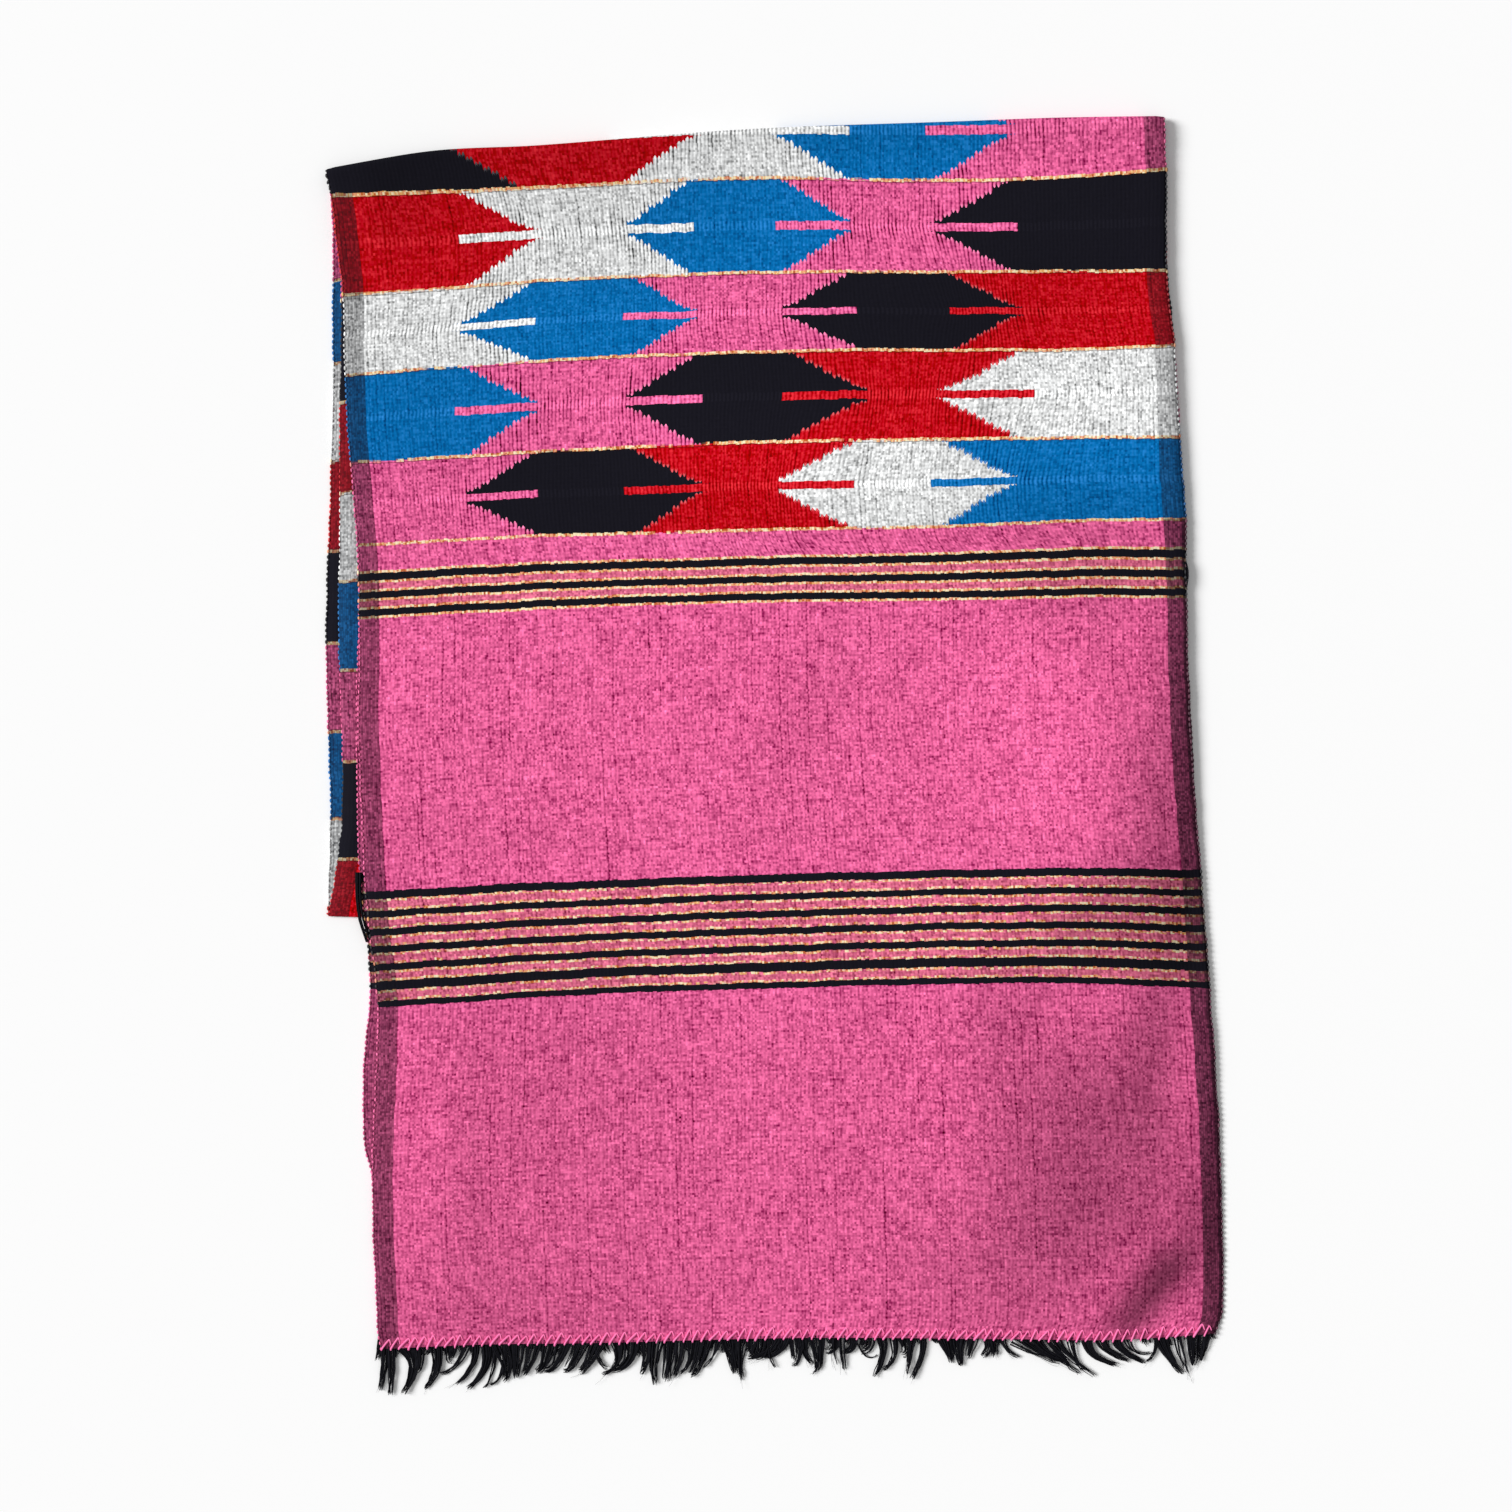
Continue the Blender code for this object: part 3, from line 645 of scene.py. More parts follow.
def makeChartGroup():  # the colours of the whole cloth, and the relief of its threads
    tree, given, result = newGroup(
        "cloth chart", "ShaderNodeTree", {"Across": "Float", "Along": "Float"},
        {"Colour": "Color", "Height": "Float", "Gold": "Float"})
    acrossTrue, alongTrue = given["Across"], given["Along"]
    drift = noiseOf(acrossTrue, alongTrue, 25, 25, 1.0, 2.0) - 0.5
    across = acrossTrue + drift * chart["warpDrift"]
    ribs = across / chart["ribPitch"]
    rib, ribRound = ribs.floor(), ribs.fract().wave()
    ribMiddle = (rib + 0.5) * chart["ribPitch"]
    step = (ribs / chart["ribsInStep"]).floor()
    stepMiddle = (step + 0.5) * (chart["ribsInStep"] * chart["ribPitch"])
    sway = noiseOf(across, alongTrue, 30, 12, 2.0) - 0.5
    jitter = chanceOf(rib, (alongTrue / cloth["rowHeight"]).floor()) - 0.5
    along = alongTrue + sway * chart["weftSway"] + jitter * chart["weftJitter"]
    fromEnd = along.least(cloth["length"] - along)

    # hexagons and hourglasses
    rowPlace = (along - cloth["patternStart"]) / cloth["rowHeight"]
    row, inRow = rowPlace.floor(), rowPlace.fract()
    isOdd = row.math("FLOORED_MODULO", 2.0)
    flipped = 1.0 - 2.0 * isOdd
    swell = (1.0 - (2.0 * inRow - 1.0).size()) / (1.0 - 2 * chart["dashHalfShare"])
    nearTip = ((swell - chart["tipStart"]) / 0.12).held()
    toothed = (swell.least(1.0) + nearTip * chart["tipReach"]
               - (ribRound - 0.45) * chart["toothShare"]
               + (chanceOf(step, row) - 0.5) * chart["stepChance"])
    dash = (inRow - 0.5).size().below(chart["dashHalfShare"])
    offDash = 1.0 - dash
    lean = (toothed * offDash - dash * chart["dashOvershoot"]) * flipped + isOdd
    passed, lights, pleatShading = [], [], []
    for even, odd in zip(chart["evenTips"], chart["oddTips"]):
        run, start = (even - odd) * mm, odd * mm
        border = run * lean + start + nearTip * offDash * chart["tipShift"]
        passed.append(stepMiddle.above(border))
        atBorder = (stepMiddle - start) / run * flipped + isOdd
        beyond = atBorder - toothed
        lights.append(beyond.between(0.0, 0.07) * atBorder.between(0.02, 1.0))
        pleatShading.append((1.0 - beyond * 1.1).held() * beyond.above(0.0))
    turn = (4.0 - row + total(passed)).math("FLOORED_MODULO", 5.0)
    stops = [(i / 5, dyes[name]) for i, name in enumerate(colourTurn)]
    rowColour = rampOf((turn + 0.5) / 5.0, stops, steady=True)
    patternEnd = cloth["patternStart"] + cloth["rows"] * cloth["rowHeight"]
    inPattern = along.between(cloth["patternStart"], patternEnd)
    edgeLight = total(lights) * inPattern * ribRound * offDash
    # painted light and shade of fine folds behind the slanted edges: ribs lighter on their crests,
    # gaps between them darker
    pleatShading = total(pleatShading).least(1.0) * inPattern

    # plain cloth with black stripes, and gold lines
    black, stripeGold = [], []
    for middle, half, goldBelow, goldAbove in stripes:
        past, half = fromEnd - middle * mm, half * mm
        black.append(past.size().below(half))
        stripeGold.append(past.between(-half - stripeGoldWidth, -half) * goldBelow)
        stripeGold.append(past.between(half, half + stripeGoldWidth) * goldAbove)
    black = total(black)
    amongStripes = total(fromEnd.between(low * mm, high * mm) for low, high in stripeBands)
    plain = mixColour(amongStripes, dyes["pink"], dyes["stripePink"])
    plain = mixColour(black, plain, dyes["black"])
    colour = mixColour(inPattern, plain, rowColour)
    strength, bright = hsvOf(colour)[1:]
    pale = 1.0 - strength
    goldHalf = chart["goldHalf"]
    toRow = inRow.least(1.0 - inRow) * cloth["rowHeight"]
    inLines = along.between(cloth["patternStart"] - goldHalf, patternEnd + goldHalf)
    goldLine = (rowPlace + 0.5).floor()
    patch = ((noiseOf(across, goldLine, 15, 5.3, 2.0, 17.0) - 0.36) * 6.0).held()
    rowGold = toRow.below(goldHalf) * inLines * (0.30 + 0.70 * patch) * (1.0 - 0.45 * pale * bright)
    beads = chanceOf(rib + 19.0, (fromEnd / chart["beadLength"]).floor() + 5.0)
    gold = (((total(stripeGold) + rowGold).held() * 1.7 - beads) * 2.5).held()
    underGold = toRow.between(goldHalf, chart["goldShadow"]) * inRow.above(0.5) * inLines

    # threads: ribs and picks with painted light and shade on their round crests, holes and dark
    # gaps between them, and uneven spinning
    nearHem = fromEnd.below(chart["lowPicksEnd"])
    picks = alongTrue * (1 / chart["pickPitch"]) + alongTrue * nearHem * (
        1 / chart["lowPickPitch"] - 1 / chart["pickPitch"])
    pickRound = picks.fract().wave()
    valley, ribEdge = 1.0 - ribRound, (ribs + 0.5).floor()
    corner = chanceOf(ribEdge, (picks + 0.5).floor() + 7.0)
    hole = valley * (1.0 - pickRound) * corner * corner * corner * corner
    gapPlace = (alongTrue / chart["gapLength"] + 0.37 * rib).floor()
    gapChance = chanceOf(ribEdge + 13.0, gapPlace)
    gap = valley * valley * gapChance * gapChance
    longPlace = (alongTrue / chart["longGapLength"] + 0.61 * rib).floor()
    longChance = chanceOf(ribEdge + 77.0, longPlace)
    longGap = valley * valley * longChance.above(chart["longGapFrom"]) * (0.4 + pickRound)
    halfRib = (across * (2 / chart["ribPitch"])).floor()
    halfPick = (alongTrue * (2 / chart["pickPitch"])).floor()
    speck = chanceOf(halfRib, halfPick) - 0.5
    salt = chanceOf(halfPick, halfRib + 91.0).above(chart["saltFrom"])
    upright = chanceOf(halfRib + 31.0, (picks * 0.7 + halfRib * 0.37).floor()) - 0.5
    level = chanceOf((ribs * 0.6 + halfPick * 0.41).floor(), halfPick + 17.0) - 0.5
    streaks = {name: noiseOf(across, alongTrue, *how[:-1]) - 0.5
               for name, how in unevenness.items()}
    # painted shade of fine diagonal creases in the cloth
    slantA, slantB = across - 0.8 * alongTrue, across + 0.8 * alongTrue
    rippleShading = noiseOf(slantA, slantB, 40, 150, 1.0, 21.0) - 0.5
    contrast = (0.12 + 1.1 * bright).least(1.0)
    # painted light and shade: each rib and pick is lighter on its crest and darker at its sides
    uneven = (chart["ribDepth"] * (ribRound - 0.5) * (1.0 + chart["pleatShadeRibs"] * pleatShading)
              + chart["pickDepth"] * (pickRound - 0.5) - chart["holeDepth"] * hole
              - chart["gapDepth"] * gap * (0.45 + 0.45 * inPattern + 1.3 * pleatShading)
              - chart["longGapDepth"] * longGap
              + chart["speckDepth"] * speck * (1.0 - 0.45 * pleatShading) + chart["saltDepth"] * salt
              + chart["barDepth"] * (upright + 1.1 * level) + chart["rippleShadeDepth"] * rippleShading
              + total(streaks[name] * how[-1] for name, how in unevenness.items()))
    onDash = dash * inPattern * (0.10 + 0.35 * (ribRound - 0.4))
    shade = chart["base"] + contrast * uneven
    shade = (shade + chart["edgeLight"] * edgeLight + onDash).math("MAXIMUM", chart["darkest"])
    colour = mixColour(edgeLight * chart["edgeGlow"], colour, dyes["edgeGlow"])
    colour = addWeave(colour, shade)
    colour = mixColour(underGold * chart["rowShadow"], colour, dyes["rowShadow"])

    # gold threads glint where they come to the top
    glint = noiseOf(across, alongTrue, 220, 60, 1.0, 13.0) + 0.8 * speck + 0.5 * upright
    goldColour = rampOf((glint * 1.5 - 0.30 + 0.30 * ribRound).held(), (
        (0.0, dyes["deepGold"]), (0.30, dyes["salmon"]), (0.60, dyes["gold"]),
        (0.92, dyes["paleGold"])))
    colour = mixColour(gold * chart["goldCover"], colour, goldColour)

    # dark warp shows through along both selvedges; outside the pattern the right one also has
    # painted shade, darkest at its rim, where the cloth turns down at its edge
    toEdge = ribMiddle.least(cloth["width"] - ribMiddle)
    band = toEdge.below(chart["selvedge"])
    warpEnds = (across * (math.tau / chart["warpEndPitch"])).math("COSINE") * 0.5 + 0.5
    onRight = acrossTrue.above(0.5 * cloth["width"])
    inPlain = 1.0 - inPattern
    fade = chart["selvedgeFade"] * (1.0 - onRight) * toEdge / chart["selvedge"]
    show = (chart["selvedgeShade"] + fade + (0.12 + 0.03 * onRight) * pale
            + 0.14 * onRight * inPattern - 0.07 * onRight * inPlain
            + 0.12 * speck - 0.08 * warpEnds)
    # painted shade at the right rim, outside the pattern
    show = show * (1.0 - 0.6 * (toEdge.below(chart["outermost"]) * onRight * inPlain))
    colour = mixColour((1.0 - band + band * show).held(), dyes["black"], colour)

    height = (0.55 * ribRound + 0.35 * pickRound - 0.5 * hole + 0.35 * upright + 0.3 * level
              + 0.5 * streaks["warpStreak"] + 0.5 * streaks["weftStreak"]
              + 0.4 * gold - 0.25 * black)
    feed(result, {"Colour": colour, "Height": height, "Gold": gold})
    return tree


chartGroup = makeChartGroup()

clothFinish = {
    "roughness": 0.86,
    "goldRoughness": 0.42,
    "specular": 0.04,
    "bump": 0.5,
    "bumpHeight": 0.2 * mm,
    "loopRoughness": 0.85,
    "loopSpecular": 0.05,
    "loopPaler": 0.06,
}

threadFinish = {
    "grain": 900,
    "specular": 0.08,
    "roughSpread": 0.2,
    "bump": 0.4,
    "bumpHeight": 0.1 * mm,
    "fringeRoughness": 0.7,
    "stitchRoughness": 0.75,
}


def newMaterial(name, specular):
    material = bpy.data.materials.new(name)
    material.use_nodes = True
    shader = material.node_tree.nodes["Principled BSDF"]
    feed(shader, {"Specular IOR Level": specular})
    return material, material.node_tree, shader


def bumpOf(tree, finish, height):
    return node(tree, "ShaderNodeBump", {
        "Strength": finish["bump"], "Distance": finish["bumpHeight"], "Height": height})


def addChart(tree):  # the chart read at the piece's own cloth map
    place = wireOf(tree, "ShaderNodeUVMap", uv_map="clothMap")
    across, along = partsOf(place, "ShaderNodeSeparateXYZ")[:2]
    inputs = {"Across": across, "Along": along}
    return wiresOf(node(tree, "ShaderNodeGroup", inputs, node_tree=chartGroup))


def makeClothMaterial():
    material, tree, shader = newMaterial("handwoven cotton", clothFinish["specular"])
    charted = addChart(tree)
    # painted shade and highlight: the chart's colour is scaled down where this attribute is above
    # 0, and up where it is below
    paintedShade = wireOf(tree, "ShaderNodeAttribute", None, "Fac", attribute_name="paintedShade")
    glossier = clothFinish["roughness"] - clothFinish["goldRoughness"]
    feed(shader, {
        "Base Color": charted["Colour"].vector("SCALE", 1.0 - paintedShade),
        "Roughness": clothFinish["roughness"] - glossier * charted["Gold"],
        "Normal": bumpOf(tree, clothFinish, charted["Height"])})
    return material


def makeLoopMaterial():  # weft turns, in the colour of the row they come from
    material, tree, shader = newMaterial("weft turns", clothFinish["loopSpecular"])
    colour = addChart(tree)["Colour"]
    paler = mixColour(clothFinish["loopPaler"], colour, dyes["white"])
    feed(shader, {"Base Color": paler, "Roughness": clothFinish["loopRoughness"]})
    return material


def makeThreadMaterial(name, colour, paler, roughness):
    material, tree, shader = newMaterial(name, threadFinish["specular"])
    place = node(tree, "ShaderNodeTexCoord").outputs["Object"]
    inputs = {"Vector": place, "Scale": threadFinish["grain"], "Detail": 2}
    grain = wireOf(tree, "ShaderNodeTexNoise", inputs, "Fac")
    spread = threadFinish["roughSpread"]
    feed(shader, {
        "Base Color": mixColour((grain * 1.6 - 0.3).held(), colour, paler),
        "Roughness": grain * spread + (roughness - spread / 2),
        "Normal": bumpOf(tree, threadFinish, grain)})
    return material


clothMaterial = makeClothMaterial()
loopMaterial = makeLoopMaterial()
fringeMaterial = makeThreadMaterial(
    "black fringe thread", dyes["fringe"], dyes["fringeLight"], threadFinish["fringeRoughness"])
stitchMaterial = makeThreadMaterial(
    "pink hem thread", dyes["stitch"], dyes["stitchLight"], threadFinish["stitchRoughness"])
print("materials made")

# the cloth

frontFold = {"setback": 0.0, "reach": folding["foldReach"], "lift": folding["foldLift"],
             "bottom": thickness, "hemOffset": 0.0, "otherEnd": False}
backFold = {"setback": folding["innerSetback"], "reach": folding["innerReach"],
            "lift": folding["innerLift"], "bottom": folding["hiddenHeight"],
            "hemOffset": folding["hemOffset"], "otherEnd": True}
frontCloth, frontTop, frontLength = makePanel(
    "front_cloth", frontCourses[:, :3], frontUnderside, frontFold,
    panelMesh["frontRows"], panelMesh["frontColumns"], 21)
backCloth, backTop, backLength = makePanel(
    "back_cloth", backEdges, backUnderside, backFold,
    panelMesh["backRows"], panelMesh["backColumns"], 31)
print("panels made")


def makeHiddenCloth():  # two layers and the half fold between them, as one wall
    rows, columns = panelMesh["hiddenRows"], panelMesh["hiddenColumns"]
    steps = panelMesh["turnSteps"]
    foldRadius = (folding["hiddenHeight"] - thickness) / 2   # to the middle of the wall
    foldY = frontCourses[-1, 3]
    top = foldY - thickness - folding["foldReach"] - folding["foldTail"] - folding["seamGap"]
    start = folding["halfFoldY"] + foldRadius + thickness / 2
    upward = np.linspace(start, top, rows)
    across = acrossPlaces(columns - 1)[None, :]

    def layer(ys, leftColumn, z, seed):
        low, high = (throughPoints(hiddenEdges[:, 0], hiddenEdges[:, leftColumn + i], ys)[:, None]
                     for i in (0, 1))
        low = low + panelMesh["edgeWander"] * wander(seed, ys, 8 * mm)[:, None]
        x = low + across * (high - low)
        y = ys[:, None] + 0 * x
        slant = courseY(x, cloth["panelLength"] + 0 * x) - foldY
        y = y + (y - start) / (top - start) * slant
        return x, y, np.full(x.shape, z)

    lower = layer(upward[::-1], 1, thickness, 41)
    upper = layer(upward, 3, folding["hiddenHeight"] - thickness, 43)
    parts = [lower]
    lengths = [np.interp(upward[::-1], lowerCourses[:, 0], lowerCourses[:, 1])]
    inner = foldRadius - thickness / 2
    for i in range(1, steps):
        turn, share = math.pi * i / steps, i / steps
        x = lower[0][-1] * (1 - share) + upper[0][0] * share
        y = lower[1][-1] - max(inner, 0.1 * mm) * math.sin(turn)
        z = folding["hiddenHeight"] / 2 - inner * math.cos(turn)
        parts.append((x[None, :], y[None, :], np.full((1, columns), z)))
        lengths.append(np.array([lowerCourses[0, 1]]))
    parts.append(upper)
    lengths.append(np.interp(upward, upperCourses[:, 0], upperCourses[:, 1]))
    x, y, z = (np.concatenate([part[k] for part in parts]) for k in range(3))
    length = np.concatenate(lengths)[:, None] + 0 * x
    chartPlaces = np.stack([across * cloth["width"] + 0 * x, length], axis=2)
    places = np.stack([x, y, z], axis=2)
    return addGrid("hidden_cloth", places, clothMaterial, chartPlaces), places, length


hiddenCloth, hiddenPlaces, hiddenLength = makeHiddenCloth()
print("hidden layers made")


# Geometry Nodes: what the trees have in common


def threadGroup(name, values, *used):  # a tree that turns lines into thread, with these inputs
    inputs = {"geometry": "Geometry", **{key: values[key] for key in used},
              "seed": 1, "material": "Material"}
    return newGroup(name, "GeometryNodeTree", inputs, {"geometry": "Geometry"})


def finishGroup(given, result, geometry):
    tree = result.id_data
    shaded = node(tree, "GeometryNodeSetShadeSmooth", {"Geometry": geometry})
    feed(result, {0: node(tree, "GeometryNodeSetMaterial", {
        "Geometry": shaded, "Material": given["material"]})})
    return tree


def randomVector(tree, seed, low, high, **more):
    inputs = {"Seed": seed, "Min": low, "Max": high, **more}
    return wireOf(tree, "FunctionNodeRandomValue", inputs, data_type="FLOAT_VECTOR")


def attributeOf(tree, name):
    return wireOf(tree, "GeometryNodeInputNamedAttribute", {"Name": name}, data_type="FLOAT")


def alongLine(tree, axis):  # turned so that this axis follows the line
    tangent = node(tree, "GeometryNodeInputTangent")
    return node(tree, "FunctionNodeAlignRotationToVector", {"Vector": tangent}, axis=axis)


def curvesOf(tree, given):
    return node(tree, "GeometryNodeMeshToCurve", {"Mesh": given["geometry"]})


def repeated(tree, given, piece, rotation, scale):  # the piece at every pitch, made real
    inputs = {"Curve": curvesOf(tree, given), "Length": given["pitch"]}
    spaced = node(tree, "GeometryNodeResampleCurve", inputs, mode="LENGTH")
    return realized(tree, node(tree, "GeometryNodeInstanceOnPoints", {
        "Points": spaced, "Instance": piece, "Rotation": rotation, "Scale": scale}))


def realized(tree, geometry):
    return node(tree, "GeometryNodeRealizeInstances", {"Geometry": geometry})


def threadAlong(tree, curve, radius, sides):  # round thread, scaled by the curve's own radius
    ring = node(tree, "GeometryNodeCurvePrimitiveCircle", {"Resolution": sides, "Radius": radius})
    return node(tree, "GeometryNodeCurveToMesh", {
        "Curve": curve, "Profile Curve": ring, "Fill Caps": True,
        "Scale": node(tree, "GeometryNodeInputRadius")})


def runNodes(name, lines, tree, values, attributes=None):  # lines of points through a tree
    points, edges = [], []
    for line in lines:
        first = len(points)
        points += [tuple(float(c) for c in point) for point in line]
        edges += [(first + i, first + i + 1) for i in range(len(line) - 1)]
    mesh = bpy.data.meshes.new(name)
    mesh.from_pydata(points, edges, [])
    for label, numbers in (attributes or {}).items():
        layer = mesh.attributes.new(label, "FLOAT", "POINT")
        layer.data.foreach_set("value", np.asarray(numbers, dtype=np.float32))
    mesh.materials.append(values["material"])
    obj = addObject(name, mesh)
    modifier = obj.modifiers.new("nodes", "NODES")
    modifier.node_group = tree
    for item in tree.interface.items_tree:
        if item.item_type == "SOCKET" and item.in_out == "INPUT" and item.name in values:
            modifier[item.identifier] = values[item.name]
    return applyModifiers(obj)


# weft turns along the selvedges

loops = {
    "pitch": 3.1 * mm,
    "length": 2.5 * mm,
    "width": 1.25 * mm,
    "height": 1.15 * mm,
    "outset": 0.1 * mm,
    "smallest": (0.75, 0.7, 0.85),
    "largest": (1.2, 1.15, 1.1),
    "drop": 0.7,                    # below the top face, in half thicknesses
    "chartPlaces": (16 * mm, 459 * mm),     # left in the row's own colour, right dark
}


def makeLoopTree():
    tree, given, result = threadGroup("weft turns", loops, "pitch", "length", "width", "height")
    bead = node(tree, "GeometryNodeMeshUVSphere", {"Segments": 7, "Rings": 5, "Radius": 0.5})
    sizes = joined(tree, given["width"], given["length"], given["height"])
    chance = randomVector(tree, given["seed"], loops["smallest"], loops["largest"])
    real = repeated(tree, given, bead, alongLine(tree, "Y"), sizes.vector("MULTIPLY", chance))
    place = joined(tree, attributeOf(tree, "acrossValue"), attributeOf(tree, "alongValue"))
    stored = node(tree, "GeometryNodeStoreNamedAttribute", {
        "Geometry": real, "Name": "clothMap", "Value": place},
        data_type="FLOAT2", domain="CORNER")
    return finishGroup(given, result, stored)


loopTree = makeLoopTree()


def makeLoops(name, places, lengths, lift, seed):  # both edges of a grid of places
    lines, acrossValues, alongValues = [], [], []
    for column, outward, place in zip((0, -1), (-1, 0), loops["chartPlaces"]):
        line = places[:, column].copy()
        line[:, 0] += outward * loops["outset"]
        line[:, 2] += lift
        lines.append(line)
        acrossValues += [place] * len(line)
        alongValues += list(lengths[:, column])
    return runNodes(name, lines, loopTree, {**loops, "seed": seed, "material": loopMaterial},
                    {"acrossValue": acrossValues, "alongValue": alongValues})


onPanels = -loops["drop"] * thickness / 2
frontLoops = makeLoops("front_selvedge_loops", frontTop, frontLength, onPanels, 3)
backLoops = makeLoops("back_selvedge_loops", backTop, backLength, onPanels, 4)
hiddenLoops = makeLoops("hidden_selvedge_loops", hiddenPlaces, hiddenLength, 0.0, 5)
print("selvedge loops made")

# overcast hems

stitches = {
    "pitch": 5.0 * mm,
    "threadRadius": 0.56 * mm,
    "rise": 5.2 * mm,               # from the hem's edge to the needle hole
    "lean": 4.2 * mm,
    "holeDepth": 0.25 * mm,
    "foot": (-0.9 * mm, -0.8 * mm),         # y and z from the hem's edge
    "footBend": (0.2 * mm, 1.6 * mm),
    "backFoot": (0.62, 2.2 * mm, -0.35 * mm),   # x as a share of the pitch, y, z
    "backBend": (0.5, 5.0 * mm, 0.5 * mm),
    "backRadius": 0.7,              # of the thread's, as it sinks into the cloth
    "turnJitter": 0.16,
    "smallest": (0.8, 0.82, 0.95),
    "largest": (1.2, 1.15, 1.05),
}


def makeStitchTree():
    tree, given, result = threadGroup(
        "hem stitches", stitches, "pitch", "threadRadius", "rise", "lean")
    top = joined(tree, given["lean"] * 0.5, given["rise"], -stitches["holeDepth"])
    otherLean = given["lean"] * -0.5
    foot, footBend = (joined(tree, otherLean, *stitches[name]) for name in ("foot", "footBend"))
    backFoot, backBend = (joined(tree, stitches["pitch"] * share, y, z)
                          for share, y, z in (stitches["backFoot"], stitches["backBend"]))
    both = node(tree, "GeometryNodeJoinGeometry")
    for points, radius, start, middle, end in (
            (5, stitches["backRadius"], top, backBend, backFoot), (8, 1.0, foot, footBend, top)):
        leg = node(tree, "GeometryNodeCurveQuadraticBezier", {
            "Resolution": points, "Start": start, "Middle": middle, "End": end})
        feed(both, {0: node(tree, "GeometryNodeSetCurveRadius", {"Curve": leg, "Radius": radius})})
    thread = threadAlong(tree, both, given["threadRadius"], 6)
    jitter = stitches["turnJitter"]
    tilt = randomVector(tree, given["seed"], (0, 0, -jitter), (0, 0, jitter))
    turned = node(tree, "FunctionNodeRotateRotation", {
        "Rotation": alongLine(tree, "X"), "Rotate By": tilt}, rotation_space="LOCAL")
    grow = randomVector(tree, given["seed"], stitches["smallest"], stitches["largest"])
    return finishGroup(given, result, repeated(tree, given, thread, turned, grow))


stitchTree = makeStitchTree()


def makeStitches(name, top, seed):
    values = {**stitches, "seed": seed, "material": stitchMaterial}
    return runNodes(name, [top[0, 1:-2]], stitchTree, values)


frontStitches = makeStitches("front_hem_stitches", frontTop, 7)
backStitches = makeStitches("back_hem_stitches", backTop, 8)
print("hem stitches made")

# fringes

